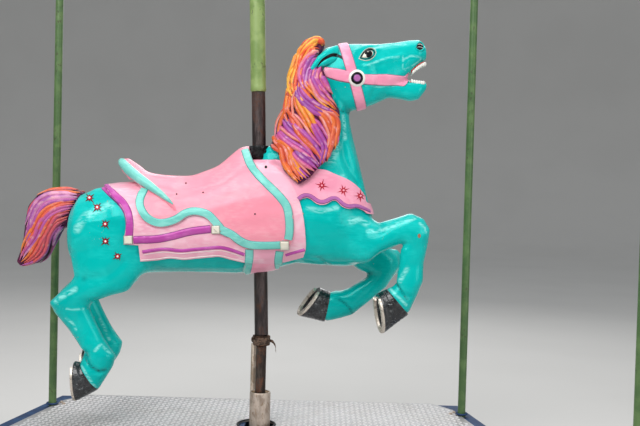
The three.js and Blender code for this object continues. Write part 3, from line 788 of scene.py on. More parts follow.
class Coats:
    """A material that is built up in coats, from the ground colour to the dirt on top; sizes are in millimetres."""

    def __init__(self, name: str, ground: str | Socket, roughness: float) -> None:
        """Starts the material with its ground colour.

        Args:
            name: the finish's name.
            ground: the colour under all coats.
            roughness: how dull it is.
        """
        self.material = bpy.data.materials.new(name)
        self.material.use_nodes = True
        self.tree = self.material.node_tree
        self.shader = self.tree.nodes["Principled BSDF"]
        where = node(self.tree, "ShaderNodeTexCoord")
        self.place = node(self.tree, "ShaderNodeMapping", {}, {
            "Vector": where.outputs["Object"], "Scale": (1000, 1000, 1000)}).outputs["Vector"]
        self.colour: str | Socket = ground
        self.rough: float | Socket = roughness
        self.height: Optional[Socket] = None

    def clouds(self, size: float, low: float, high: float, detail: float = 3.0, twist: float = 0.0,
               stretch: tuple[float, float, float] = (1.0, 1.0, 1.0), shift: float = 0.0) -> Socket:
        """A mask of soft patches.

        Args:
            size: about how wide they are.
            low: the level of the pattern where the mask starts.
            high: the level where the mask is full; under low for the pattern's valleys.
            detail: how ragged they are.
            twist: how much they swirl.
            stretch: how much finer they are along each axis.
            shift: moves the pattern, so that two masks differ.

        Returns:
            The mask, from 0 to 1.
        """
        place = node(self.tree, "ShaderNodeMapping", {}, {
            "Vector": self.place, "Scale": stretch, "Location": (shift, -shift, 2 * shift)})
        noise = node(self.tree, "ShaderNodeTexNoise", {}, {
            "Vector": place.outputs["Vector"], "Scale": 1 / size, "Detail": detail, "Distortion": twist})
        return self.between(noise.outputs["Fac"], low, high)

    def cells(self, size: float, low: float, high: float) -> Socket:
        """A mask of rounded cells about size across."""
        cell = node(self.tree, "ShaderNodeTexVoronoi", {}, {"Vector": self.place, "Scale": 1 / size})
        return self.between(cell.outputs["Distance"], low, high)

    def between(self, value: Socket, low: float, high: float) -> Socket:
        """A soft mask that rises from 0 at low to 1 at high."""
        return node(self.tree, "ShaderNodeMapRange", {"interpolation_type": "SMOOTHSTEP"}, {
            "Value": value, "From Min": low, "From Max": high}).outputs["Result"]

    def stored(self, name: str, low: float = 0.0, high: float = 1.0) -> Socket:
        """A mask from a number that the mesh carries."""
        number = node(self.tree, "ShaderNodeAttribute", {"attribute_name": name})
        return self.between(number.outputs["Fac"], low, high)

    def both(self, first: Socket, second: Socket | float) -> Socket:
        """Where both masks are."""
        return node(self.tree, "ShaderNodeMath", {"operation": "MULTIPLY"}, {0: first, 1: second}).outputs[0]

    def paint(self, mask: Socket, colour: str | Socket, cover: float = 1.0) -> "Coats":
        """Lays a colour over the mask."""
        mix = node(self.tree, "ShaderNodeMix", {"data_type": "RGBA"}, {
            0: self.both(mask, cover), 6: self.colour, 7: colour})
        self.colour = mix.outputs[2]
        return self

    def rub(self, mask: Socket, roughness: float) -> "Coats":
        """Makes the surface duller or shinier over the mask."""
        mix = node(self.tree, "ShaderNodeMix", {"data_type": "FLOAT"}, {0: mask, 2: self.rough, 3: roughness})
        self.rough = mix.outputs[0]
        return self

    def emboss(self, mask: Socket, depth: float) -> "Coats":
        """Raises the surface over the mask, or lowers it, by depth millimetres."""
        base = self.height if self.height is not None else 0.0
        self.height = node(self.tree, "ShaderNodeMath", {"operation": "MULTIPLY_ADD"}, {
            0: mask, 1: depth, 2: base}).outputs[0]
        return self

    def done(self, **constants: float | tuple) -> bpy.types.Material:
        """Joins the coats to the shader, and sets what is the same all over on the shader itself."""
        for name, value in (("Base Color", self.colour), ("Roughness", self.rough)):
            socket = self.shader.inputs[name]
            if isinstance(value, bpy.types.NodeSocket):
                self.tree.links.new(value, socket)
            else:
                socket.default_value = linear(value) if isinstance(value, str) else value
        if self.height is not None:
            bump = node(self.tree, "ShaderNodeBump", {}, {"Height": self.height, "Distance": 0.001})
            self.tree.links.new(bump.outputs["Normal"], self.shader.inputs["Normal"])
        for name, value in constants.items():
            self.shader.inputs[name.replace("_", " ")].default_value = value
        return self.material


MIXED: dict[str, bpy.types.Material] = {}


@dataclass(frozen=True)
class Finish:
    """What a surface is finished with."""

    name: str

    def coats(self) -> bpy.types.Material:
        """Mixes the finish; each kind of finish has its own way."""
        raise NotImplementedError

    def material(self) -> bpy.types.Material:
        """The finish's material, made once."""
        if self.name not in MIXED:
            MIXED[self.name] = self.coats()
        return MIXED[self.name]


@dataclass(frozen=True)
class GlossEnamel(Finish):
    """Gloss enamel brushed on moulded glass fibre by hand, coat over coat, under years of dust.

    The eye gets a deep even colour, broad brushed lights where the horse was shaded by hand, soft runs, a hard
    shine with small lamps in it, painted highlights along the muscles, and painted shade with grey dust in the
    creases.
    """

    colour: str
    shade: str
    light: str
    lights: float
    grime: float
    gloss: float
    edge: Optional[str] = None
    edge_from: float = 0.84
    chips: Optional[str] = None

    def coats(self) -> bpy.types.Material:
        """Mixes the enamel: IOR 1.5, as a hard alkyd film has."""
        work = Coats(self.name, self.colour, self.gloss)
        # Broad shading by hand, a hand's width across, then single brush marks 9 mm apart.
        work.paint(work.clouds(130, 0.42, 0.72, 1.5, 0.3), self.shade, 0.4)
        work.paint(work.clouds(75, 0.50, 0.78, 2.0, 0.8, (1.0, 1.0, 1.5), 40.0), self.light, self.lights * 0.8)
        brush = work.both(work.clouds(9, 0.40, 0.66, 3.0, 0.3, (0.35, 1.0, 1.4), 11.0),
                          work.clouds(70, 0.45, 0.6, 1.0, shift=23.0))
        work.paint(brush, self.light, self.lights * 0.7)
        # Painted shade in the creases with dark dust specks in them, and painted highlights along the muscles.
        work.paint(work.stored("hollow", 0.10, 0.75), self.shade, 0.9)
        speck = work.clouds(5, 0.50, 0.60, 4.0, 0.6)
        work.paint(work.both(work.stored("hollow", 0.25, 1.0), speck), "#1D2E2B", self.grime)
        # The pale cyan streaks over the shine lines are painted highlights, standing for sheen on the muscles.
        brushed = work.clouds(11, 0.34, 0.60, 5.0, 0.5, (0.5, 1.0, 1.4), 51.0)
        work.paint(work.both(work.stored("shine", 0.15, 1.0), brushed), "#9CEFE8", 0.72)
        stain = work.both(work.clouds(3.2, 0.66, 0.70, 2.0), work.clouds(60, 0.5, 0.62, 1.0, shift=7.0))
        work.paint(stain, self.shade, 0.55)
        if self.chips:
            chip = work.both(work.clouds(5.5, 0.72, 0.75, 2.0, shift=77.0),
                             work.clouds(90, 0.57, 0.64, 1.0, shift=31.0))
            work.paint(chip, self.chips).emboss(chip, -0.25)
        if self.edge:
            work.paint(work.stored("edge", self.edge_from, self.edge_from + 0.07), self.edge, 0.85)
        # Runs and sags 42 mm across, and the ridges of the brush.
        work.rub(work.clouds(35, 0.45, 0.75, 4.0, 0.5), min(0.6, self.gloss + 0.16))
        work.emboss(work.clouds(42, 0.2, 0.8, 1.0), 1.1)
        work.emboss(work.clouds(6, 0.3, 0.7, 2.0, 0.2, (0.4, 1.0, 1.0)), 0.10)
        return work.done(IOR=1.5, Coat_Weight=0.25, Coat_Roughness=0.12, Specular_Tint=linear(self.light))


@dataclass(frozen=True)
class CarvedHair(Finish):
    """Oil enamel laid wet in wet on carved locks: orange, yellow, magenta and purple run along each lock.

    The eye gets streaks along the lock, a pale painted highlight on its ridge and near black painted shade in the
    groove beside it.
    """

    stops: tuple[tuple[float, str], ...]
    # groove: the colour of the painted shade at the lock's edges; ridge: that of the painted highlight on its crown.
    groove: str
    ridge: str

    def coats(self) -> bpy.types.Material:
        """Mixes the streaked enamel from the numbers that each lock carries."""
        work = Coats(self.name, "#C86A50", 0.42)
        tint = node(work.tree, "ShaderNodeAttribute", {"attribute_name": "hair_tint"}).outputs["Fac"]
        streak = node(work.tree, "ShaderNodeTexNoise", {}, {"Vector": work.place, "Scale": 1 / 34, "Detail": 4.0})
        drift = node(work.tree, "ShaderNodeMath", {"operation": "MULTIPLY_ADD"}, {
            0: streak.outputs["Fac"], 1: 0.3, 2: -0.15})
        mixed = node(work.tree, "ShaderNodeMath", {"operation": "ADD"}, {0: tint, 1: drift.outputs[0]})
        ramp = node(work.tree, "ShaderNodeValToRGB", {"stops": self.stops}, {"Fac": mixed.outputs[0]})
        work.colour = ramp.outputs["Color"]
        # Painted highlight along each lock's crown, painted shade in patches down its sides, and near black painted
        # shade in the grooves at its edges.
        ridge = work.both(work.stored("edge", 0.22, 0.0), work.clouds(20, 0.52, 0.66, 2.0, 0.4, (1, 1, 1), 5.0))
        work.paint(ridge, self.ridge, 0.45)
        work.paint(work.both(work.stored("edge", 0.25, 0.6), work.clouds(11, 0.42, 0.6, 2.0)), "#8A2A4E", 0.6)
        work.paint(work.stored("edge", 0.6, 0.92), self.groove, 0.95)
        work.emboss(work.clouds(3, 0.3, 0.7, 3.0), 0.3)
        return work.done(IOR=1.5, Coat_Weight=0.12, Coat_Roughness=0.2)


@dataclass(frozen=True)
class BareSteel(Finish):
    """Hot-rolled steel left bare or rubbed bare: dark mill scale, polished where it slides, rust in the pits."""

    colour: str
    dark: str
    rust: str
    rusting: float
    roughness: float
    grain: tuple[float, float, float] = (1.0, 1.0, 0.12)

    def coats(self) -> bpy.types.Material:
        """Mixes the steel: metallic 0.75, since scale and dirt hide some of the metal."""
        work = Coats(self.name, self.colour, self.roughness)
        work.paint(work.clouds(14, 0.40, 0.62, 4.0, 0.3, self.grain), self.dark, 0.8)
        work.paint(work.clouds(2.2, 0.52, 0.60, 3.0, 0.0, self.grain), self.dark, 0.6)
        rust = work.both(work.clouds(24, 0.50, 0.62, 4.0, 0.6, (1, 1, 0.5), 13.0), work.clouds(3, 0.42, 0.55, 3.0))
        work.paint(rust, self.rust, self.rusting).rub(rust, 0.75)
        work.emboss(work.clouds(3.5, 0.3, 0.7, 4.0), 0.5).emboss(work.clouds(20, 0.3, 0.7, 2.0), 0.6)
        return work.done(Metallic=0.75)


@dataclass(frozen=True)
class Galvanised(Finish):
    """Hot-dip zinc on a steel tube: dull pale grey with faint spangle, darker where hands and oil reach it."""

    colour: str
    dark: str

    def coats(self) -> bpy.types.Material:
        """Mixes the zinc: metallic 0.6, since white rust dulls it."""
        work = Coats(self.name, self.colour, 0.5)
        work.paint(work.cells(16, 0.1, 0.8), "#DDD2C6", 0.45)
        work.paint(work.clouds(22, 0.45, 0.65, 4.0, 0.4, (1, 1, 0.5)), self.dark, 0.7)
        work.paint(work.clouds(4, 0.58, 0.66, 3.0, 0.0, (1, 1, 0.3)), "#8C6A45", 0.6)
        work.emboss(work.clouds(2.5, 0.3, 0.7, 3.0), 0.2)
        return work.done(Metallic=0.6)


@dataclass(frozen=True)
class TreadPlate(Finish):
    """Aluminium tread plate, raised bars rolled in: dull oxide between them, bars rubbed bright, tan dust."""

    colour: str
    bright: str
    dust: str

    def coats(self) -> bpy.types.Material:
        """Mixes the plate: metallic 0.5, since oxide and dust hide much of the metal."""
        work = Coats(self.name, self.colour, 0.48)
        work.paint(work.clouds(160, 0.42, 0.68, 4.0, 0.8), self.dust, 0.3)
        work.paint(work.clouds(14, 0.50, 0.70, 4.0, 0.6), self.dust, 0.2)
        work.paint(work.clouds(50, 0.55, 0.75, 3.0, 1.0, (1, 1, 1), 9.0), self.bright, 0.4)
        work.paint(work.both(work.clouds(3, 0.68, 0.72, 2.0), work.clouds(80, 0.55, 0.65, 1.0)), "#6E5D4F", 0.5)
        work.rub(work.clouds(40, 0.45, 0.65, 3.0), 0.34)
        work.emboss(work.clouds(1.6, 0.3, 0.7, 2.0), 0.12)
        return work.done(Metallic=0.5)


@dataclass(frozen=True)
class YardPaint(Finish):
    """Brushed gloss paint on structural steel: thick, faded, scraped to the metal along what feet touch."""

    colour: str
    faded: str
    bare: str
    scrapes: float
    gloss: float = 0.42

    def coats(self) -> bpy.types.Material:
        """Mixes the paint: IOR 1.5, with scrapes that go through the film."""
        work = Coats(self.name, self.colour, self.gloss)
        work.paint(work.clouds(45, 0.42, 0.66, 4.0, 0.5), self.faded, 0.7)
        scrape = work.both(work.clouds(7, 0.60, 0.65, 4.0, 0.4, (1, 1, 0.6)), work.clouds(60, 0.48, 0.6, 2.0))
        work.paint(scrape, self.bare, self.scrapes).emboss(scrape, -0.3).rub(scrape, 0.7)
        work.paint(work.clouds(2.5, 0.60, 0.7, 2.0), self.faded, 0.4)
        work.emboss(work.clouds(18, 0.3, 0.7, 2.0), 0.35).emboss(work.clouds(3, 0.3, 0.7, 2.0), 0.08)
        return work.done(IOR=1.5)


@dataclass(frozen=True)
class HoofBlack(Finish):
    """Black gloss enamel brushed on the hooves: deep black, grey scuffs and pale scratches along it."""

    colour: str = "#15171A"

    def coats(self) -> bpy.types.Material:
        """Mixes the black: IOR 1.5 under a glossy film."""
        work = Coats(self.name, self.colour, 0.16)
        work.paint(work.clouds(20, 0.5, 0.66, 4.0, 0.8), "#3A3F42", 0.6)
        scratch = work.clouds(3, 0.64, 0.68, 2.0, 0.0, (0.15, 1.0, 1.0))
        work.paint(work.both(scratch, work.clouds(30, 0.45, 0.6, 2.0)), "#A9ADAD", 0.8)
        work.rub(work.clouds(12, 0.45, 0.65, 4.0), 0.42)
        work.emboss(work.clouds(10, 0.3, 0.7, 2.0, 0.0, (1, 1, 2.5)), 0.5)
        return work.done(IOR=1.5, Coat_Weight=0.5, Coat_Roughness=0.08)


@dataclass(frozen=True)
class SilverPaint(Finish):
    """Aluminium paint on the shoes: leafing flake, satin, worn to the brown undercoat in places."""

    colour: str

    def coats(self) -> bpy.types.Material:
        """Mixes the flake paint: metallic 0.85."""
        work = Coats(self.name, self.colour, 0.3)
        work.paint(work.clouds(9, 0.52, 0.66, 4.0, 0.5), "#7A6656", 0.7)
        work.rub(work.clouds(6, 0.4, 0.6, 3.0), 0.5)
        work.emboss(work.clouds(2.4, 0.3, 0.7, 3.0), 0.25)
        return work.done(Metallic=0.85)


@dataclass(frozen=True)
class ClothTape(Finish):
    """Old cloth tape soaked in grease and rust: brown, matt, frayed, with a fine weave."""

    colour: str = "#6B5547"
    dark: str = "#2E221C"

    def coats(self) -> bpy.types.Material:
        """Mixes the tape; its weave is drawn at 1.4 mm, coarser than the real 0.5 mm, so that it shows."""
        work = Coats(self.name, self.colour, 0.85)
        work.paint(work.clouds(9, 0.42, 0.62, 5.0, 0.4), self.dark, 0.85)
        work.paint(work.clouds(5, 0.6, 0.7, 3.0, 0.0, (1, 1, 1), 3.0), "#A07F66", 0.6)
        weave = node(work.tree, "ShaderNodeTexWave", {"bands_direction": "DIAGONAL"}, {
            "Vector": work.place, "Scale": 1 / 1.4, "Distortion": 1.0})
        work.emboss(weave.outputs["Fac"], 0.25).emboss(work.clouds(8, 0.3, 0.7, 3.0), 1.2)
        return work.done(IOR=1.45)


@dataclass(frozen=True)
class GreasyBronze(Finish):
    """A cast bronze bush, brown with grease outside and yellow where the rod polishes it."""

    colour: str = "#8A6B3A"

    def coats(self) -> bpy.types.Material:
        """Mixes the bronze: metallic 1."""
        work = Coats(self.name, self.colour, 0.38)
        work.paint(work.clouds(12, 0.45, 0.62, 4.0), "#3B2C1A", 0.8)
        work.emboss(work.clouds(3, 0.3, 0.7, 3.0), 0.2)
        return work.done(Metallic=1.0)


TURQUOISE = GlossEnamel("turquoise_gloss_enamel", "#00BCB5", "#009894", "#2ADBD2", 0.36, 0.75, 0.17, chips="#E08A4E")
SEAT_PINK = GlossEnamel("seat_pink_gloss_enamel", "#F898AB", "#F08498", "#FFC6CF", 0.3, 0.35, 0.34)
PALE_PINK = GlossEnamel("blanket_pink_gloss_enamel", "#F4B3C6", "#E290AB", "#FDDFE6", 0.6, 0.45, 0.32)
COLLAR_PINK = GlossEnamel("collar_pink_gloss_enamel", "#F9A9C0", "#EE86A6", "#FFCBD9", 0.4, 0.5, 0.32)
MINT = GlossEnamel("mint_gloss_enamel", "#7ACFC4", "#4FB3A8", "#A9E8DE", 0.5, 0.3, 0.22, "#4E8F94")
PURPLE = GlossEnamel("purple_gloss_enamel", "#BC4BA4", "#A03C8C", "#DC86C8", 0.4, 0.3, 0.24, "#5E2A66")
MAUVE = GlossEnamel("mauve_gloss_enamel", "#B56AAA", "#94508E", "#D294C8", 0.4, 0.3, 0.26, "#3D2C50", 0.76)
CREAM = GlossEnamel("cream_gloss_enamel", "#EDE7D6", "#C9C0A8", "#FFFDF2", 0.5, 0.4, 0.28, "#7B7468", 0.86)
STRAP_PINK = GlossEnamel(
    "bridle_pink_gloss_enamel", "#F79DB9", "#E5799E", "#FFC4D5", 0.4, 0.3, 0.22, "#7A3E56", 0.88)
WHITE = GlossEnamel("white_gloss_enamel", "#F4F1E9", "#C9C6BC", "#FFFFFF", 0.3, 0.4, 0.2)
EYE_BLACK = GlossEnamel("black_gloss_enamel", "#101012", "#08080A", "#2E2E33", 0.3, 0.2, 0.12)
STAR_DARK = GlossEnamel("oxblood_gloss_enamel", "#5A0F16", "#2A080A", "#8E2A30", 0.3, 0.2, 0.24)
STAR_RED = GlossEnamel("red_gloss_enamel", "#C21A34", "#981224", "#DC4A58", 0.3, 0.2, 0.24)
GUM_RED = GlossEnamel("gum_red_gloss_enamel", "#D6453F", "#9C2A2C", "#EE8277", 0.4, 0.3, 0.22)
# Each hair paint ends with the near black of its painted groove shade, then the pale of its painted ridge highlight.
MANE_PAINT = CarvedHair("mane_gloss_enamel", (
    (0.0, "#EC9A34"), (0.17, "#E26C22"), (0.33, "#D24C30"), (0.46, "#E48E7C"), (0.58, "#CF5690"),
    (0.72, "#A8459E"), (0.87, "#84388C"), (1.0, "#C98AC0")), "#1E0A16", "#F2BFC4")
FORELOCK_PAINT = CarvedHair("forelock_gloss_enamel", (
    (0.0, "#F7CC48"), (0.25, "#F2952E"), (0.5, "#EC5E24"), (0.75, "#DA3A2C"), (1.0, "#F2A83A")),
    "#5A1410", "#FBE07A")
TAIL_PAINT = CarvedHair("tail_gloss_enamel", (
    (0.0, "#E98A2C"), (0.25, "#DE5A3C"), (0.5, "#C9506E"), (0.72, "#C05AA0"), (0.88, "#9A4A98"), (1.0, "#E8A0C0")),
    "#2C1016", "#F0B8A8")
# The dark base under the locks, painted shade that stands for the shadow deep in the grooves between them.
GROOVE_SHADE_ENAMEL = GlossEnamel("groove_gloss_enamel", "#4A1B3C", "#1E0C18", "#A03C6A", 0.5, 0.6, 0.4)
POLE_STEEL = BareSteel("weathered_pipe_steel", "#554B4A", "#322C2C", "#744C38", 0.5, 0.42)
ROD_STEEL = BareSteel("rod_steel", "#5A4E48", "#302925", "#825640", 0.75, 0.5)
COUPLING_RUST = BareSteel("rusted_iron", "#5B4335", "#2E211A", "#8A5A3C", 0.9, 0.7, (1, 1, 1))
BLACK_IRON = BareSteel("painted_black_iron", "#2B2D2E", "#101112", "#7E858A", 0.35, 0.5, (1, 1, 1))
ZINC = Galvanised("dull_zinc", "#C6B3A4", "#8C7868")
STEADY_ZINC = Galvanised("steady_rod_zinc", "#CBB8A6", "#94806E")
TREAD = TreadPlate("aluminium_tread_plate", "#B5B3B4", "#C6C3C2", "#A09A95")
TREAD_BARS = TreadPlate("rubbed_tread_bars", "#E2DFDF", "#EFEDEC", "#CBC6C1")
BLUE_PAINT = YardPaint("blue_gloss_paint", "#0A2F58", "#1D4A74", "#3A332E", 0.8, 0.62)
OLIVE_PAINT = YardPaint("olive_gloss_paint", "#476639", "#64804C", "#3F3428", 0.6)
SLEEVE_PAINT = YardPaint("pale_green_gloss_paint", "#779150", "#98AE6C", "#4A4638", 0.7)
BLACK_HOOF = HoofBlack("hoof_black_enamel")
BARE_PRIMER = YardPaint("chipped_primer", "#B4795A", "#94603F", "#6E5A50", 0.6, 0.7)
SHOE_SILVER = SilverPaint("aluminium_flake_paint", "#DDD3C6")
RAG_TAPE = ClothTape("cloth_tape")
BUSH_BRONZE = GreasyBronze("greasy_bronze")


# Placing pieces


class Body(Enum):
    """What a piece moves with."""

    DECK = "deck"
    HORSE = "horse"


def dress(name: str, finish: Finish) -> None:
    """Gives a CAD node its finish."""
    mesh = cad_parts[name].data
    mesh.materials.clear()
    mesh.materials.append(finish.material())


def place(name: str, form: Form, finish: Finish, body: Body = Body.HORSE, stands_for: Sequence[str] = (),
          slot: str = "", upright: bool = False, angle: float = 38.0) -> None:
    """Puts a form in the frame as a finished piece.

    Args:
        name: the piece's name.
        form: its mesh in millimetres.
        finish: what it is finished with.
        body: what it moves with.
        stands_for: the CAD nodes that it replaces.
        slot: the record's material slot; not used.
        upright: whether its millimetres are without the horse's lean.
        angle: the sharpest turn of the surface that still looks smooth, in degrees.
    """
    mesh = form.mesh
    space = UPRIGHT if upright else HORSE
    form.points = space.to_world(form.points)
    mesh.name = name
    mesh.materials.clear()
    mesh.materials.append(finish.material())
    mesh.polygons.foreach_set("material_index", [0] * len(mesh.polygons))
    mesh.polygons.foreach_set("use_smooth", [True] * len(mesh.polygons))
    mesh.set_sharp_from_angle(angle=math.radians(angle))
    made = bpy.data.objects.new(name, mesh)
    bpy.context.scene.collection.objects.link(made)
    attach(made, body.value)
    if stands_for:
        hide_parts(*stands_for)
    LOG.info("%s: %d faces", name, len(mesh.polygons))


# The horse


@dataclass(frozen=True)
class Stroke:
    """A groove or ridge that the carver leaves along a drawn line.

    Attributes:
        line: its points in the side view.
        plane: how far out it is drawn.
        depth: how deep it is, negative for a ridge.
        reach: how far it spreads to each side.
        sides: the sides of the horse that have it.
    """

    line: Line
    plane: float
    depth: float
    reach: float
    sides: tuple[Side, ...] = (Side.RIGHT, Side.LEFT)


@dataclass
class HorseBody:
    """The moulded body: trunk, neck, head, jaw and legs as one skin, with its carved muscles.

    Attributes:
        voxel: the grain of the skin when the solids are fused.
        smoothing: how many rounds it is smoothed.
        blocks: the CAD nodes that it is made of.
        strokes: what the carver pressed into it.
        eases: where folds are filled: a line, its plane, the reach and the rounds.
        shines: the painted highlights along the muscles: a line, its plane and the reach.
        creases: where painted shade and dust are laid along the folds, given in the same way.
    """

    voxel: float = 4.7
    smoothing: int = 80
    blocks: tuple[str, ...] = (
        "trunk", "neck", "head", "lower_jaw",
        "right_fore_leg", "left_fore_leg", "right_hind_leg", "left_hind_leg",
    )
    strokes: tuple[Stroke, ...] = (
        # The fold at the elbow, and the one where the foreleg leaves the chest.
        Stroke([(178, 520), (196, 506), (214, 490)], 100, 4, 11),
        Stroke([(352, 640), (362, 622), (366, 604)], 100, 5, 10),
        # The groove over each hind fetlock, and the folds over the front ones.
        Stroke([(-520, 240), (-512, 215), (-500, 197), (-484, 187), (-465, 189)], 90, 5, 8),
        Stroke([(-546, 262), (-520, 262), (-505, 275)], 95, -3, 12),
        Stroke([(414, 446), (427, 418), (450, 401)], 80, 3.5, 7),
        Stroke([(240, 395), (262, 380), (280, 355)], 80, 3.5, 8),
        # The fuller back of each front cannon, and the far knee.
        Stroke([(436, 540), (433, 504), (427, 474), (424, 450)], 80, -11, 16),
        Stroke([(422, 512), (420, 487), (406, 462), (387, 442)], 75, -18, 24, (Side.LEFT,)),
        # The flank.
        Stroke([(-340, 640), (-335, 590), (-352, 545)], 110, 4, 16),
        Stroke([(-400, 520), (-430, 490), (-470, 470), (-520, 468)], 100, 3, 14),
        # The point of the hip.
        Stroke([(-470, 730), (-430, 700), (-420, 660)], 110, -4, 22),
        # The jaw's round cheek and the hollow before it.
        Stroke([(352, 1105), (362, 1075), (360, 1040), (345, 1005)], 50, 3.5, 10),
        Stroke([(330, 1095), (373, 1110), (409, 1118), (433, 1127)], 52, -3.5, 8),
        # The brow.
        Stroke([(296, 1140), (318, 1152), (349, 1156), (365, 1146)], 50, -3.5, 8),
        # The muscle down the neck.
        Stroke([(257, 874), (256, 848), (260, 818), (270, 795), (285, 769), (302, 741)], 62, 4.5, 13),
        Stroke([(232, 990), (244, 969), (258, 958), (274, 956)], 56, 3.5, 6),
        Stroke([(240, 900), (262, 870), (282, 830), (290, 790)], 80, -3, 15),
    )
    eases: tuple[tuple[Line, float, float, int], ...] = (
        # Where the foreleg leaves the shoulder, and along the forearm.
        (((250, 510), (266, 545), (284, 590), (300, 640), (316, 664)), 105, 40, 220),
        (((330, 590), (380, 604), (430, 610)), 90, 30, 120),
        # The front of the thigh, and its side.
        (((-300, 490), (-333, 477), (-366, 453), (-409, 428), (-450, 409)), 95, 26, 120),
        (((-360, 560), (-380, 520), (-420, 480)), 110, 36, 160),
        # The hump of the withers before the pole.
        (((36, 834), (56, 848), (82, 846), (104, 832)), 20, 24, 60),
    )
    shines: tuple[tuple[Line, float, float], ...] = (
        # Painted highlights, standing for sheen, on the rump, legs, forearm, neck and face.
        (((-534, 617), (-520, 640), (-507, 656), (-480, 668), (-437, 687)), 110, 15),
        (((-476, 345), (-464, 322), (-448, 285)), 95, 5),
        (((-576, 350), (-556, 333), (-547, 316)), 95, 5),
        (((-571, 379), (-549, 377), (-521, 379)), 105, 4),
        (((-602, 404), (-575, 421), (-545, 437)), 105, 10),
        (((-491, 252), (-474, 269), (-465, 262), (-448, 245)), 95, 6),
        (((-533, 205), (-514, 171), (-491, 138)), 90, 5),
        (((327, 602), (348, 601), (373, 606), (398, 614), (422, 624), (445, 632), (466, 635)), 95, 8),
        (((483, 622), (497, 610), (500, 597)), 90, 6),
        (((275, 633), (301, 635), (322, 624)), 110, 12),
        (((238, 856), (226, 831), (218, 808)), 75, 17),
        (((258, 945), (261, 913), (262, 880)), 60, 9),
        (((422, 450), (433, 468), (446, 489)), 80, 8),
        (((390, 429), (411, 408), (441, 377)), 80, 5),
        (((440, 1124), (441, 1108), (438, 1091), (448, 1084)), 40, 3),
        (((445, 1118), (468, 1127), (495, 1119), (475, 1101), (451, 1088)), 40, 3.5),
        (((330, 1098), (363, 1110), (394, 1120), (427, 1123)), 50, 4),
        (((344, 1146), (367, 1152), (407, 1157), (447, 1160)), 50, 5),
        (((326, 1038), (365, 1033), (405, 1035), (436, 1039)), 50, 3),
        (((255, 760), (262, 720), (255, 690)), 90, 14),
        (((150, 672), (190, 664), (235, 672)), 110, 9),
    )
    creases: tuple[tuple[Line, float, float], ...] = (
        # Painted shade and dust along the folds of the fetlocks and the neck.
        (((-523, 236), (-512, 214), (-498, 199), (-480, 190), (-462, 193)), 90, 5.5),
        (((402, 468), (409, 450), (418, 433), (431, 412), (443, 395)), 80, 5),
        (((240, 395), (262, 380), (280, 355)), 80, 5),
        (((232, 990), (244, 969), (258, 958)), 56, 4),
    )

    def build(self) -> Form:
        """Carves the body.

        Returns:
            The skin, in horse millimetres.
        """
        plug = lathe([(21.5, 560), (21.5, 812)])
        ridge = [Vector((28, 0, 808)), Vector((46, 0, 822)), Vector((66, 0, 820)), Vector((92, 0, 802))]
        withers = tube(ridge, [44, 44, 41, 38], 20, 0.9)
        skin = Form.of_nodes(self.blocks).joined(plug, withers).fused(self.voxel)
        x, _, z = skin.points.T
        skin = skin.smoothed(self.smoothing, np.where((x > 425) & (z > 960), 0.35, 1.0))
        for line, plane, reach, rounds in self.eases:
            for side in Side:
                skin = skin.eased(skin.seen_path(line, plane, side), reach, rounds)
        for stroke in self.strokes:
            skin = self.carved(skin, stroke)
        skin = skin.smoothed(3)
        # The hollow number darkens the creases with painted shade and dust; the shine number carries the painted
        # highlights.
        hollow = (skin.hollows() / 0.16).clip(0, 1)
        return skin.tagged("shine", self.along(skin, self.shines)).tagged(
            "hollow", np.maximum(hollow, self.along(skin, self.creases)))

    @staticmethod
    def along(skin: Form, lines: Sequence[tuple[Line, float, float]]) -> np.ndarray:
        """How close each vertex is to any of the drawn lines, on both sides of the horse."""
        found = np.zeros(len(skin.mesh.vertices))
        for line, plane, reach in lines:
            for side in Side:
                found = np.maximum(found, skin.near(skin.seen_path(line, plane, side), reach))
        return found

    @staticmethod
    def carved(skin: Form, stroke: Stroke) -> Form:
        """Presses one stroke into the skin, only where it faces the side that the stroke is on.

        Args:
            skin: the body so far.
            stroke: what to press in.

        Returns:
            The carved copy.
        """
        points = skin.points
        normals = skin.normals
        for side in stroke.sides:
            pull = skin.near(skin.seen_path(stroke.line, stroke.plane, side), stroke.reach)
            facing = (normals[:, 1] * side.value * 1.6 + 0.5).clip(0, 1)
            points = points - normals * (stroke.depth * pull * facing)[:, None]
        carved = skin.copy()
        carved.points = points
        return carved


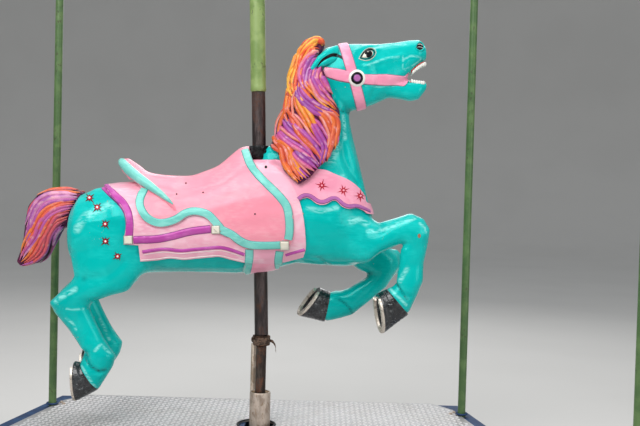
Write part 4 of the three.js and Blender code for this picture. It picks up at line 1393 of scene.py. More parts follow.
@dataclass
class Tack:
    """The saddle cloth, saddle, girth, breast collar and their trims, laid on the skin."""

    plane: float = 118.0
    collar_plane: float = 100.0
    blanket_height: float = 8.0
    saddle_height: float = 13.5
    strap_height: float = 6.0
    blanket_outline: Line = (
        (-474, 870), (-471, 790), (-451, 750), (-428, 712), (-404, 687), (-391, 663), (-387, 632), (-392, 598),
        (-395, 570), (-395, 570), (-352, 567), (-352, 567), (-347, 519), (-347, 519),
        (-299, 522), (-259, 527), (-220, 523), (-181, 526), (-141, 529), (-112, 530), (-77, 521), (-36, 511),
        (-36, 511), (30, 508), (78, 512), (78, 512), (134, 526), (134, 526), (142, 558), (138, 627), (129, 676),
        (114, 720), (89, 762), (60, 790), (28, 803), (-8, 812), (-50, 822), (-50, 870), (-50, 870),
        (-474, 870), (-474, 870),
    )
    flap_edge: Line = (
        (-332, 733), (-345, 706), (-346, 681), (-329, 651), (-302, 634), (-273, 632), (-238, 643), (-213, 660),
        (-184, 666), (-149, 657), (-128, 637), (-106, 610), (-76, 595), (-52, 577), (-23, 565), (21, 562),
        (66, 563), (80, 566), (90, 580), (94, 600), (94, 637), (87, 677), (67, 706), (38, 736), (4, 771),
        (-20, 805), (-34, 845),
    )
    collar_outline: Line = (
        (-20, 817), (33, 816), (60, 816), (85, 806), (116, 790), (171, 788), (203, 784), (224, 775), (249, 764),
        (271, 754), (287, 743), (304, 727), (319, 706), (331, 684), (400, 684), (400, 684),
        (400, 652), (400, 652), (333, 652), (313, 663), (294, 670), (271, 668), (251, 675), (233, 692), (221, 692),
        (201, 682), (178, 683), (154, 700), (138, 701), (112, 688), (112, 688), (70, 740), (20, 780),
        (-20, 795), (-20, 795), (-20, 817),
    )
    girth_outline: Line = (
        (-36, 556), (66, 556), (66, 556), (58, 430), (58, 430), (-42, 430), (-42, 430), (-36, 556),
    )
    seat_line: Line = (
        (-400, 827), (-367, 805), (-346, 788), (-316, 779), (-270, 774), (-211, 773), (-168, 786), (-126, 803),
        (-84, 836), (-59, 855), (-40, 860), (-26, 861),
    )
    bands: tuple[tuple[str, Line, float, float, float, Finish], ...] = (
        ("rear_band", ((-465, 790), (-459, 761), (-445, 742), (-422, 719), (-398, 694), (-383, 666),
                       (-378, 632), (-380, 596)), 25, 3.0, 5.0, PURPLE),
        ("hem_strip", ((-366, 583), (-298, 585), (-249, 594), (-199, 606), (-138, 613)), 24, 5.0, 2.6, PURPLE),
        ("flap_band_rear", flap_edge[:12], 26, 3.6, 5.0, MINT),
        ("flap_band_front", flap_edge[11:18], 26, 3.6, 5.0, MINT),
        ("saddle_front_band", flap_edge[18:], 25, 3.6, 5.0, MINT),
        ("girth_band_rear", ((-25, 552), (-26, 520), (-36, 470), (-34, 446)), 25, 3.0, 5.0, MINT),
        ("girth_band_front", ((65, 545), (60, 517), (63, 484), (58, 452)), 25, 3.0, 5.0, MINT),
        ("hem_line", ((-340, 547), (-308, 552), (-274, 555), (-230, 550), (-190, 553), (-151, 556),
                      (-111, 558), (-77, 550), (-40, 536)), 11, 3.0, 2.4, PURPLE),
        ("hem_line_front", ((82, 533), (110, 541), (139, 549)), 11, 3.0, 2.4, PURPLE),
        # White lines that are painted highlights along the fold of the hem and along its lower edge.
        ("hem_light", ((-338, 538), (-308, 543), (-274, 546), (-230, 541), (-190, 544), (-151, 547),
                       (-111, 549), (-77, 541), (-44, 529)), 1.8, 1.2, 2.4, WHITE),
        ("hem_edge_light", ((-346, 523), (-299, 526), (-259, 531), (-220, 527), (-181, 530), (-141, 533),
                            (-112, 534), (-77, 525), (-40, 516)), 2.4, 1.2, 2.4, WHITE),
        ("collar_border", ((121, 698), (136, 709), (156, 708), (180, 691), (200, 690), (220, 700), (235, 700),
                           (254, 682), (272, 675), (294, 677), (314, 670), (333, 661)), 13, 2.8, 3.0, MAUVE),
    )
    seat_seam: Line = ((-292, 736), (-245, 725), (-198, 725), (-150, 735), (-109, 748), (-70, 770), (-42, 795))
    pits: tuple[tuple[float, float, float], ...] = (
        (-237, 717, 2.4), (-159, 721, 2.4), (-209, 749, 2.4), (-274, 637, 2.6), (-7, 656, 2.4), (-100, 601, 2.4),
        (27, 794, 4.2),
    )
    keepers: tuple[tuple[float, float, float, float], ...] = (
        (-382, 584, 27, 25), (-123, 611, 25, 25), (79, 563, 27, 26),
    )
    collar_stars: Line = ((191, 738), (255, 723), (305, 706))
    hip_stars: Line = ((-498, 708), (-476, 680), (-453, 630), (-453, 579), (-418, 534))

    def build(self, skin: Form) -> None:
        """Lays every piece of tack on the skin, from the lowest layer up.

        Args:
            skin: the horse's body.
        """
        blanket = relief(skin, prism(self.blanket_outline, self.plane), self.blanket_height)
        girth = relief(skin, prism(self.girth_outline, self.plane), self.strap_height)
        collar = relief(skin, prism(self.collar_outline, self.collar_plane), self.strap_height)
        saddle = self.seat(skin)
        for layer in (blanket, girth, collar, saddle):
            # The tack carries no painted highlights and no painted crease shade.
            bare = np.zeros(len(layer.mesh.vertices))
            layer.tagged("shine", bare).tagged("hollow", bare)
        surface = skin.joined(blanket, girth, saddle, collar)
        self.trims(surface)
        self.cantle(surface)
        self.stars(surface)
        place("saddle_blanket_cloth", blanket, PALE_PINK, stands_for=["saddle_blanket"], slot="pale_pink_enamel")
        chip = patch(skin, circle(480, 585, 4.6, 12, 6.5), 90.0, Side.RIGHT, 0.3, rings=3, sink=0.5, lift=0.3)
        place("knee_chip", chip, BARE_PRIMER)
        place("girth_strap", girth, COLLAR_PINK, stands_for=["girth"], slot="pale_pink_enamel")
        place("breast_collar_strap", collar, COLLAR_PINK, stands_for=["breast_collar"], slot="pale_pink_enamel")
        place("saddle_seat", saddle, SEAT_PINK, stands_for=["saddle"], slot="pink_enamel")

    def seat(self, skin: Form) -> Form:
        """The saddle: thin at the flaps, and raised along the back to the line of the seat.

        Args:
            skin: the horse's body.

        Returns:
            One closed form.
        """
        grown = skin.grown(self.saddle_height)
        points = grown.points
        facing = grown.normals[:, 2]
        tops = {}
        for x in range(-420, 0, 10):
            hit = grown.tree.ray_cast(Vector((x, 0, 1400)), Vector((0, 0, -1)))[0]
            tops[x] = hit.z if hit is not None else 800.0
        ridge = np.interp(points[:, 0], list(tops), list(tops.values()))
        wanted = np.interp(points[:, 0], *zip(*smooth_line(self.seat_line)))
        within = (points[:, 0] > -425) & (points[:, 0] < 0) & (points[:, 2] > 690) & (facing > 0)
        spread = np.cos(np.clip(np.abs(points[:, 1]) / 112, 0, 1) * math.pi / 2) ** 1.5
        points[:, 2] += np.where(within, (wanted - ridge) * spread, 0.0)
        grown.points = points
        edge = beside(smooth_line(self.flap_edge), 12.5)
        outline = [(-412, 920), (-412, 860), (-380, 780), *edge[::3], (-24, 880), (-24, 920)]
        seat = grown.common(prism(outline, self.plane)).less(skin.grown(-2))
        for side in Side:
            pull = seat.near(seat.seen_path(self.seat_seam, self.plane, side), 8.0)
            seat.points = seat.points - seat.normals * (1.6 * pull)[:, None]
        return seat

    def trims(self, surface: Form) -> None:
        """The painted bands and strips along the edges of the saddle and its cloth."""
        square = ((-1, -1), (0, -1), (1, -1), (1, 0), (1, 1), (0, 1), (-1, 1), (-1, 0))
        for side in Side:
            for name, line, width, height, roundness, finish in self.bands:
                plane = self.collar_plane if name == "collar_border" else self.plane
                path = surface.seen_path(line, plane, side)
                place(f"{name}_{side.word}", Ribbon(width, height, roundness).on(surface, path), finish)
            for number, (x, z, radius) in enumerate(self.pits, 1):
                pit = patch(surface, circle(x, z, radius, 12), self.plane, side, 0.5, rings=3, sink=0.5, lift=0.6)
                place(f"saddle_pit_{number}_{side.word}", pit, EYE_BLACK)
            for number, (x, z, wide, tall) in enumerate(self.keepers, 1):
                outline = [(x + across * wide / 2, z + up * tall / 2) for across, up in square]
                keeper = patch(surface, outline, self.plane, side, 3.0, 8.0, 4, lift=4.0)
                place(f"strap_keeper_{number}_{side.word}", keeper, CREAM)

    def cantle(self, surface: Form) -> None:
        """The raised back of the seat: a thin wall and the tapering roll on top of it.

        Args:
            surface: the horse with its saddle.
        """
        half = ((-423, 818, 0, 22), (-414, 812, 24, 27), (-389, 788, 45, 32), (-353, 763, 72, 30),
                (-320, 742, 90, 26), (-288, 720, 105, 20), (-262, 700, 116, 12), (-248, 688, 122, 3))
        rows = [(x, -y, z, w) for x, z, y, w in reversed(half[1:])] + [(x, y, z, w) for x, z, y, w in half]
        path = [Vector((x, y, z)) for x, y, z, _ in rows]
        widths = [w / 2 for *_, w in rows]
        lengths = np.concatenate([[0], np.cumsum([(b - a).length for a, b in zip(path, path[1:])])])
        route = even_path(path, 4.0, 0)
        wanted = np.linspace(0, lengths[-1], len(route))
        radii = np.interp(wanted, lengths, widths)
        place("cantle_roll", tube(route, list(radii), 20), MINT, slot="mint_enamel")
        rings = []
        for spot, radius in zip(route, radii):
            inward = Vector((0.55, -0.25 * spot.y / 120, 0)).normalized()
            foot = surface.tree.ray_cast(spot + Vector((4, 0, 20)), Vector((0.18, 0, -1)))[0]
            if foot is None or foot.z > spot.z:
                foot = spot + Vector((8, 0, -20))
            foot = foot + Vector((0, 0, -5))
            thick = max(1.5, radius * 0.62)
            rings.append([spot + inward * thick, foot + inward * (thick + 4), foot - inward * (thick + 2),
                          spot - inward * thick])
        wall = loft(rings).fused(3.0).smoothed(8)
        place("cantle_wall", wall, SEAT_PINK, stands_for=["cantle"], slot="pink_enamel")

    def stars(self, surface: Form) -> None:
        """The eight-pointed stars painted on the breast collar and the hip."""
        for side in Side:
            for number, (x, z) in enumerate(self.collar_stars, 1):
                self.star(surface, f"collar_star_{number}_{side.word}", x, z, side)
            for number, (x, z) in enumerate(self.hip_stars, 1):
                self.star(surface, f"hip_star_{number}_{side.word}", x, z, side, True)

    def star(self, surface: Form, name: str, x: float, z: float, side: Side, on_hip: bool = False) -> None:
        """One star, with rays that differ a little as brushed ones do.

        Args:
            surface: the horse with its tack.
            name: the piece's name.
            x: its middle as drawn.
            z: the same, up.
            side: the side of the horse.
            on_hip: whether it is a dark star of the hip, which has a red spot under its pale middle.
        """
        plane = self.collar_plane
        chance = random.Random(int(x - z))
        start = chance.uniform(-0.3, 0.3) + (math.pi / 4 if on_hip else 0.0)
        radius, waist = (19.0, 0.36) if on_hip else (21.0, 0.27)
        outline = []
        for corner, turn in enumerate(turns(16)):
            reach = radius * (1.0, waist, 0.66, waist)[corner % 4]
            reach *= chance.uniform(0.8, 1.15) if corner % 2 == 0 else 1.0
            outline.append((x + reach * math.cos(start + turn), z + reach * math.sin(start + turn)))
        rays = patch(surface, outline, plane, side, 0.6, 6.0, 6, 1.0, 0.8)
        place(name, rays, STAR_DARK if on_hip else STAR_RED)
        if on_hip:
            spot = patch(surface, circle(x, z, radius * 0.31, 16), plane, side, 0.6, rings=3, sink=0.5, lift=1.5)
            place(f"{name}_spot", spot, STAR_RED)
        middle = patch(surface, circle(x, z, 3.1, 12), plane, side, 0.5, rings=3, sink=0.5, lift=2.1)
        place(f"{name}_middle", middle, WHITE if on_hip else COLLAR_PINK)


@dataclass
class Hooves:
    """Black hooves with silver shoes; each leg ends in one."""

    shoe_web: float = 13.0
    shoe_thickness: float = 6.5
    sides: int = 48
    rows: int = 15
    shapes: tuple[tuple[str, tuple, tuple, float, float], ...] = (
        ("right_fore", (448, 348, 382, 428, 37), (371, 292, 354, 416, 43), -75, 13.0),
        ("left_fore", (195, 306, 218, 404, 36), (114, 327, 186, 418, 43), 75, 13.0),
        ("right_hind", (-487, 132, -540, 214, 37), (-553, 98, -558, 222, 42), -76, 0.0),
        ("left_hind", (-499, 146, -552, 228, 37), (-565, 112, -570, 236, 42), 76, 0.0),
    )

    def build(self) -> None:
        """Makes the four hooves with their shoes."""
        for name, coronet, sole, y, turn in self.shapes:
            self.hoof(name, coronet, sole, y, turn)

    def hoof(self, name: str, coronet: tuple, sole: tuple, y: float, turn: float) -> None:
        """One hoof and shoe.

        Args:
            name: the leg's name.
            coronet: toe x, toe z, heel x, heel z and half width at the leg.
            sole: the same at the ground face.
            y: its place across.
            turn: how many degrees its sole is turned to the outside of the ring.
        """
        toe, heel = Vector((sole[0], y, sole[1])), Vector((sole[2], y, sole[3]))
        upper_toe, upper_heel = Vector((coronet[0], y, coronet[1])), Vector((coronet[2], y, coronet[3]))
        tilt = Matrix.Rotation(math.radians(turn), 4, (toe - heel).normalized())
        base = (toe + heel) / 2
        down = (base - (upper_toe + upper_heel) / 2).normalized()
        if (tilt @ down).y > down.y:
            tilt = tilt.inverted()
        tilt = tilt.to_3x3()
        rings = []
        for row in range(self.rows):
            share = row / (self.rows - 1)
            a, b = upper_toe.lerp(toe, share), upper_heel.lerp(heel, share)
            half = coronet[4] + (sole[4] - coronet[4]) * share
            ridge = 0.5 * math.sin(share * 40) - (1.8 if share in (0, 1) else 0.0)
            centre, long = (a + b) / 2, (a - b) / 2
            ring = []
            for angle in turns(self.sides):
                c, s = math.cos(angle), math.sin(angle)
                flat = 0.93 if c < -0.4 else 1.0
                point = centre + long * c * flat + Vector((0, 1, 0)) * (half * math.copysign(abs(s) ** 0.9, s))
                point += (point - centre).normalized() * ridge
                away = point - base
                ring.append(base + (tilt @ away) * share + away * (1 - share))
            rings.append(ring)
        last = rings[-1]
        middle = sum(last, Vector()) / self.sides
        facing = (tilt @ (toe - heel)).cross(Vector((0, 1, 0))).normalized()
        if facing.dot(down) < 0:
            facing.negate()
        rings += [[point.lerp(middle, share) - facing * deep for point in last]
                  for share, deep in ((0.22, 0), (0.30, 5), (0.75, 8))]
        place(f"{name}_hoof_horn", loft(rings), BLACK_HOOF, stands_for=[f"{name}_hoof"], slot="hoof_black")
        self.shoe(name, last, middle, facing)

    def shoe(self, name: str, rim: Path, middle: Vector, facing: Vector) -> None:
        """The open ring on the sole, with its fuller groove and the gap at the heel.

        Args:
            name: the leg's name.
            rim: the edge of the sole, from the toe round.
            middle: the middle of the sole.
            facing: the way that the sole faces.
        """
        count = len(rim)
        gap = 5
        profile = ((0.0, 0.0), (0.0, 1.0), (0.10, 1.15), (0.42, 1.15), (0.50, 0.85), (0.58, 1.15), (0.9, 1.15),
                   (1.0, 1.0), (1.0, 0.0))
        rings = []
        for i in range(count // 2 + gap - count, count // 2 - gap + 1):
            spot = rim[i % count]
            inward = (middle - spot).normalized()
            rings.append([spot + inward * (across * self.shoe_web - 0.5) + facing * up * self.shoe_thickness
                          for across, up in profile])
        place(f"{name}_horseshoe", loft(rings), SHOE_SILVER, stands_for=[f"{name}_shoe"], slot="silver_paint")


@dataclass
class Face:
    """Eyes, nostrils, ears, teeth and the bridle."""

    eye: Line = (
        (314, 1121), (318, 1129), (323, 1135), (329, 1140), (336, 1142), (343, 1142), (348, 1139), (350, 1134),
        (349, 1129), (346, 1125), (341, 1122), (335, 1120), (328, 1119), (320, 1119),
    )
    nostril: Line = (
        (479, 1151), (481, 1159), (487, 1166), (495, 1169), (502, 1166), (505, 1159), (504, 1150), (499, 1144),
        (491, 1142), (484, 1145),
    )
    nose_arcs: tuple[Line, ...] = (
        ((486, 1161), (492, 1162), (499, 1158)), ((485, 1153), (492, 1154), (500, 1150)),
    )
    ear_hollow: Line = ((180, 1093), (192, 1110), (208, 1122), (227, 1130), (244, 1128), (260, 1118), (271, 1104))
    rosette: tuple[float, float] = (300.0, 1059.0)
    cheek_plane: float = 56.0
    nose_plane: float = 35.0
    ear_plane: float = 52.0
    half_tooth: tuple[float, float, float] = (3.7, 3.2, 5.8)

    def build(self, skin: Form) -> None:
        """Makes the face and what it wears.

        Args:
            skin: the horse's body.
        """
        loop = self.around(skin, Vector((286, 0, 1075)), Vector((54, 0, -195)))
        crown = Ribbon(33, 4.2, 9.0, 11, 4.0, loop=True).on(skin, loop, 2)
        place("bridle_crown_strap", crown, STRAP_PINK, stands_for=["bridle"], slot="pink_enamel")
        surface = skin.joined(crown)
        for side in Side:
            for name, line, width in (
                ("mouth_strap", [(318, 1056), (354, 1054), (414, 1052), (450, 1051), (463, 1052)],
                 ((0, 31), (0.5, 36), (0.8, 30), (0.93, 27), (1, 12))),
                ("nape_strap", [(200, 1081), (235, 1072), (262, 1066), (288, 1061)], ((0, 30), (0.5, 37), (1, 36))),
            ):
                strap = Ribbon(width, 4.2, 9.0, 11).on(surface, surface.seen_path(line, self.cheek_plane, side), 2)
                place(f"bridle_{name}_{side.word}", strap, STRAP_PINK)
            self.badge(surface, side)
            self.look(skin, side)
            self.nose(skin, side)
            self.ear(skin, side)
        self.mouth()

    @staticmethod
    def around(skin: Form, middle: Vector, along: Vector) -> Path:
        """A closed loop round the head, in the plane through the middle that runs along a direction and across.

        Args:
            skin: the horse's body.
            middle: a point inside the head.
            along: a direction of the loop's plane; across the head is the other.

        Returns:
            The points of the loop, with the first one again at the end.
        """
        down = along.normalized()
        path = []
        for step in range(73):
            turn = math.tau * step / 72
            away = Vector((0, -1, 0)) * math.cos(turn) + down * math.sin(turn)
            hit = skin.tree.ray_cast(middle + away * 260, -away)[0]
            if hit is not None:
                path.append(hit)
        return path

    def badge(self, surface: Form, side: Side) -> None:
        """The round boss where the straps cross: a white rim, a black ring and a mauve middle."""
        x, z = self.rosette
        for name, radius, height, lift, finish in (
            ("rim", 25, 5.0, 4.5, WHITE), ("ring", 17.5, 1.6, 9.2, EYE_BLACK), ("middle", 11.5, 2.0, 10.4, MAUVE),
        ):
            boss = patch(surface, circle(x, z, radius, 32), self.cheek_plane, side, height, 3.5, 5, 6.0, lift)
            place(f"rosette_{name}_{side.word}", boss, finish)

    def look(self, skin: Form, side: Side) -> None:
        """One eye: a white almond, a black iris with a small painted glint on it, two dark lids and a pale rim."""
        for name, outline, height, rings, sink, lift, finish in (
            ("white", self.eye, 4.0, 5, 2.0, 0.6, CREAM),
            ("iris", circle(335, 1131, 11, 24, 10.8), 2.0, 4, 1.0, 3.4, EYE_BLACK),
            # The small cream light is a painted glint on the iris.
            ("light", circle(333, 1135, 1.5, 12), 0.6, 2, 0.5, 5.3, CREAM),
        ):
            ball = patch(skin, outline, self.cheek_plane, side, height, 2.4, rings, sink, lift)
            place(f"eye_{name}_{side.word}", ball, finish)
        for name, line, width, height, finish in (
            ("upper_lid", [(311, 1119), (318, 1131), (328, 1141), (340, 1145), (350, 1142), (354, 1134)],
             ((0, 2), (0.4, 4.5), (0.8, 4.5), (1, 2)), 4.0, EYE_BLACK),
            ("lower_lid", [(311, 1119), (322, 1116), (334, 1117), (345, 1121), (353, 1128), (354, 1134)],
             ((0, 1.5), (0.5, 2.4), (1, 1.5)), 3.4, EYE_BLACK),
            ("rim", [(306, 1117), (314, 1131), (326, 1144), (341, 1149), (354, 1145), (358, 1134), (351, 1122),
                     (338, 1113), (322, 1112), (306, 1117)], 2.6, 2.8, CREAM),
        ):
            lid = Ribbon(width, height, 2.2, 7, 2.0).on(skin, skin.seen_path(line, self.cheek_plane, side), 1)
            place(f"eye_{name}_{side.word}", lid, finish)

    def nose(self, skin: Form, side: Side) -> None:
        """One nostril: a black hollow with a swollen rim and two painted arcs.

        Args:
            skin: the horse's body.
            side: the side of the horse.
        """
        hollow = patch(skin, self.nostril, self.nose_plane, side, 0.9, 3.0, 4, 1.0, 0.5)
        place(f"nostril_{side.word}", hollow, EYE_BLACK)
        path = skin.seen_path([*self.nostril, self.nostril[0]], self.nose_plane, side)
        place(f"nostril_rim_{side.word}", Ribbon(5, 3.4, 2.0, 7, 2.0).on(skin, path, 1), TURQUOISE)
        for number, line in enumerate(self.nose_arcs, 1):
            arc = Ribbon(1.8, 1.2, 2.0, 5, 1.5, lift=1.0).on(skin, skin.seen_path(line, self.nose_plane, side), 1)
            place(f"nostril_arc_{number}_{side.word}", arc, WHITE)

    def ear(self, skin: Form, side: Side) -> None:
        """One ear, laid back, with its dark crescent hollow.

        Args:
            skin: the horse's body.
            side: the side of the horse.
        """
        node_name = f"{side.word}_ear"
        ear = Form.of_nodes([node_name]).fused(2.6).smoothed(14)
        pull = ear.near(ear.seen_path(self.ear_hollow, self.ear_plane, side), 6.5)
        ear.points = ear.points - ear.normals * (4.5 * pull)[:, None]
        whole = ear.joined(skin)
        path = whole.seen_path(self.ear_hollow, self.ear_plane, side)
        hollow = Ribbon(((0, 2), (0.25, 8), (0.6, 11), (0.85, 7), (1, 2)), 0.8, 4.0, 9, 2.0).on(whole, path, 3)
        place(f"ear_hollow_{side.word}", hollow, EYE_BLACK)
        # This number gives the ear's creases painted shade and dust.
        ear.tagged("hollow", (ear.hollows() / 0.3).clip(0, 1))
        place(f"ear_{side.word}", ear, TURQUOISE, stands_for=[node_name], slot="turquoise_enamel", angle=60)

    def mouth(self) -> None:
        """Two rows of teeth on red gums, inside the open lips."""
        for name, line, half, up in (
            ("upper", [(470, 1083), (482, 1094), (496, 1104), (508, 1110)], 21, -1),
            ("lower", [(466, 1050), (478, 1046), (492, 1044), (504, 1043)], 20, 1),
        ):
            row = smooth_line(line, step=3.0)
            route = [Vector((x, -half, z)) for x, z in row]
            x, z = row[-1]
            route += [Vector((x + 4 * math.cos(t), half * math.sin(t), z)) for t in np.linspace(-1.2, 1.2, 9)]
            route += [Vector((x, half, z)) for x, z in reversed(row)]
            route = even_path(route, 2.0, 2)
            ridge = [Vector((spot.x - 3.5, spot.y * 0.8, spot.z)) for spot in route]
            place(f"gum_{name}", tube(ridge, [4.2 if up > 0 else 2.4] * len(route), 12), GUM_RED)
            spaced = even_path(route, 7.4, 0)
            teeth = [self.tooth((a + b) / 2 + Vector((0, 0, up * 4.6)), (b - a).normalized())
                     for a, b in zip(spaced, spaced[1:])]
            place(f"teeth_{name}", teeth[0].joined(*teeth[1:]), WHITE)

    def tooth(self, middle: Vector, along: Vector) -> Form:
        """One tooth: a block with full round edges.

        Args:
            middle: its middle.
            along: the direction of the row.

        Returns:
            One closed form.
        """
        half_long, half_thick, half_tall = self.half_tooth
        through = along.cross(Vector((0, 0, 1))).normalized()
        rings = []
        for row in range(7):
            lift = -math.cos(math.pi * (row + 0.5) / 7)
            wide = (1 - abs(lift) ** 3) ** 0.4
            ring = []
            for turn in turns(14):
                c, s = (math.copysign(abs(v) ** 0.6, v) for v in (math.cos(turn), math.sin(turn)))
                ring.append(middle + along * c * half_long * wide + through * s * half_thick * wide
                            + Vector((0, 0, lift * half_tall)))
            rings.append(ring)
        return loft(rings)


@dataclass
class Hair:
    """Mane, forelock and tail: a dark grooved base, which stands for the shade between the locks, under many
    tapering carved locks.
    """

    seed: int = 41
    lift: float = 1.5
    root: float = 9.0
    mane_guides: tuple[Line, ...] = (
        ((167, 1072), (174, 1039), (188, 1012), (211, 993), (235, 978)),
        ((185, 1066), (194, 1038), (207, 1016), (226, 993), (238, 967)),
        ((133, 1065), (144, 1039), (162, 1016), (188, 986), (218, 967), (242, 952)),
        ((122, 1047), (132, 1013), (158, 979), (188, 960), (221, 949), (243, 926)),
        ((114, 1032), (125, 994), (143, 957), (158, 919), (176, 889), (187, 859)),
        ((173, 964), (203, 941), (221, 911), (225, 878), (216, 844), (206, 805), (198, 780)),
        ((199, 964), (225, 949), (241, 922), (242, 892), (232, 863), (221, 832), (212, 805)),
        ((147, 949), (169, 923), (191, 893), (204, 863), (202, 829), (196, 795), (190, 772)),
        ((87, 965), (113, 935), (135, 905), (157, 875), (179, 848), (198, 820), (208, 798)),
        ((76, 946), (98, 920), (124, 897), (148, 868), (170, 840), (190, 812), (200, 790)),
        ((57, 917), (79, 894), (105, 871), (131, 854), (157, 834), (180, 810), (196, 785)),
        ((52, 868), (75, 857), (89, 830), (100, 797), (115, 767), (131, 744)),
        ((105, 856), (123, 834), (145, 816), (166, 798), (182, 778), (190, 760)),
        ((93, 845), (108, 815), (126, 789), (146, 768), (164, 752)),
        ((93, 838), (100, 812), (115, 782), (133, 759), (148, 751)),
        ((87, 980), (68, 943), (55, 906), (52, 872)),
        ((185, 1130), (163, 1122), (150, 1100), (143, 1070), (146, 1035), (160, 1005)),
        ((60, 905), (52, 885), (58, 862), (80, 838)),
        ((120, 1030), (100, 1000), (92, 970), (98, 940), (118, 915)),
        ((176, 1108), (166, 1090), (160, 1065), (163, 1035), (178, 1008)),
        ((192, 1098), (182, 1075), (184, 1050), (196, 1024), (216, 1004)),
    )
    mane_tints: tuple[float, ...] = (
        0.62, 0.5, 0.18, 0.66, 0.12, 0.32, 0.2, 0.74, 0.42, 0.8, 0.62, 0.2, 0.74, 0.55, 0.2, 0.3, 0.7, 0.4,
        0.3, 0.76, 0.56,
    )
    tail_tints: tuple[float, ...] = (0.2, 0.94, 0.78, 0.3, 0.74, 0.28, 0.5, 0.84)
    forelock_tints: tuple[float, ...] = (0.6, 0.2, 0.7, 0.35, 0.05, 0.55, 0.3)
    tail_guides: tuple[Line, ...] = (
        ((-529, 728), (-570, 727), (-610, 731), (-651, 723), (-682, 703), (-703, 672), (-714, 640)),
        ((-545, 715), (-597, 716), (-640, 712), (-676, 690), (-698, 655), (-708, 621)),
        ((-548, 707), (-601, 703), (-642, 696), (-672, 668), (-692, 633), (-704, 590), (-716, 558)),
        ((-552, 696), (-608, 688), (-646, 667), (-675, 630), (-700, 592), (-716, 556), (-729, 524)),
        ((-562, 684), (-612, 672), (-643, 652), (-665, 618), (-690, 578), (-712, 545), (-730, 514)),
        ((-572, 668), (-619, 656), (-644, 628), (-662, 588), (-686, 552), (-712, 524), (-736, 506)),
        ((-582, 650), (-623, 632), (-644, 598), (-652, 567), (-674, 536), (-706, 512), (-740, 502)),
        ((-592, 632), (-620, 611), (-634, 574), (-648, 543), (-676, 516), (-712, 504), (-742, 500)),
    )
    forelock_guides: tuple[Line, ...] = (
        ((205, 1161), (190, 1184), (167, 1188), (141, 1169), (125, 1147), (117, 1132)),
        ((198, 1158), (183, 1177), (163, 1165), (146, 1145), (130, 1120), (118, 1090)),
        ((190, 1150), (175, 1154), (158, 1138), (143, 1112), (132, 1085), (124, 1055)),
        ((141, 1165), (120, 1135), (107, 1100), (99, 1062), (100, 1028), (106, 1000)),
        ((126, 1110), (112, 1080), (108, 1050), (112, 1022), (122, 990)),
        ((150, 1110), (134, 1080), (126, 1050), (128, 1020), (138, 990)),
        ((100, 1040), (90, 1005), (84, 975), (90, 945)),
    )

    def build(self, skin: Form) -> None:
        """Makes the three heads of hair on the horse's skin.

        Args:
            skin: the horse's body.
        """
        chance = random.Random(self.seed)
        mane = Form.of_nodes(["mane", "forelock"]).fused(4.0).smoothed(40)
        tints = self.mane_tints
        locks = self.locks(mane, self.mane_guides, tints, 70.0, (Side.RIGHT,), 3, 13.0, (6.0, 12.0), chance)
        short = tuple(tuple((x - (x - 92) * 0.35, z) for x, z in line) for line in self.mane_guides)
        locks += self.locks(mane, short, tints, 60.0, (Side.LEFT,), 3, 12.0, (6.0, 12.0), chance)
        self.finish("mane", locks, MANE_PAINT, "mane_enamel")
        # The dark mane base is painted shade for the grooves between the locks.
        place("mane_base", mane.grown(-1.0), GROOVE_SHADE_ENAMEL)
        tints = self.forelock_tints
        locks = self.locks(mane, self.forelock_guides, tints, 45.0, tuple(Side), 3, 11.0, (5.0, 10.0), chance)
        self.finish("forelock", locks, FORELOCK_PAINT, "mane_enamel")
        tail = Form.of_nodes(["tail"]).fused(4.0).smoothed(12)
        locks = self.locks(tail.joined(skin), self.tail_guides, self.tail_tints, 30.0, tuple(Side), 2, 13.0,
                           (7.5, 13.0), chance, tail)
        self.finish("tail", locks, TAIL_PAINT, "tail_enamel")
        # The dark tail base is painted shade for the grooves between the locks.
        place("tail_base", tail.grown(-1.0), GROOVE_SHADE_ENAMEL)

    def locks(self, base: Form, guides: Sequence[Line], tints: Sequence[float], plane: float, sides: Sequence[Side],
              count: int, spread: float, sizes: tuple[float, float], chance: random.Random,
              hair: Optional[Form] = None) -> list[Form]:
        """Lays locks along guides.

        Args:
            base: the body of hair under them.
            guides: the drawn lines that the locks follow.
            tints: the place of each guide's colour in the paint's range, from 0 to 1.
            plane: how far out they are drawn.
            sides: the sides of the horse that have them.
            count: how many locks follow each guide.
            spread: how far apart they lie.
            sizes: the smallest and largest half width of a lock.
            chance: the source of the small differences between them.
            hair: the part of the base that they stay close to, all of it if None.

        Returns:
            The locks.
        """
        made = []
        for side in sides:
            for guide, tint in zip(guides, tints):
                wave = chance.uniform(0, math.tau)
                for number in range(count):
                    offset = (number - (count - 1) / 2) * spread + chance.uniform(-1.5, 1.5)
                    line = beside(smooth_line(guide, step=6.0), offset, 0.6)
                    line = [(x + 3 * math.sin(wave + z / 15), z) for x, z in line]
                    line = line[chance.randrange(0, 4):len(line) - chance.randrange(0, 5)]
                    path = [base.seen(x, z, plane, side) for x, z in line]
                    path = [spot for spot in path if spot is not None]
                    if hair is not None:
                        path = [spot for spot in path if (hair.nearest(spot)[0] - spot).length < self.root]
                    if len(path) < 4:
                        continue
                    first = tint + chance.uniform(-0.16, 0.16)
                    made.append(self.lock(base, path, chance.uniform(*sizes), first, chance.uniform(-0.3, 0.3)))
        return made

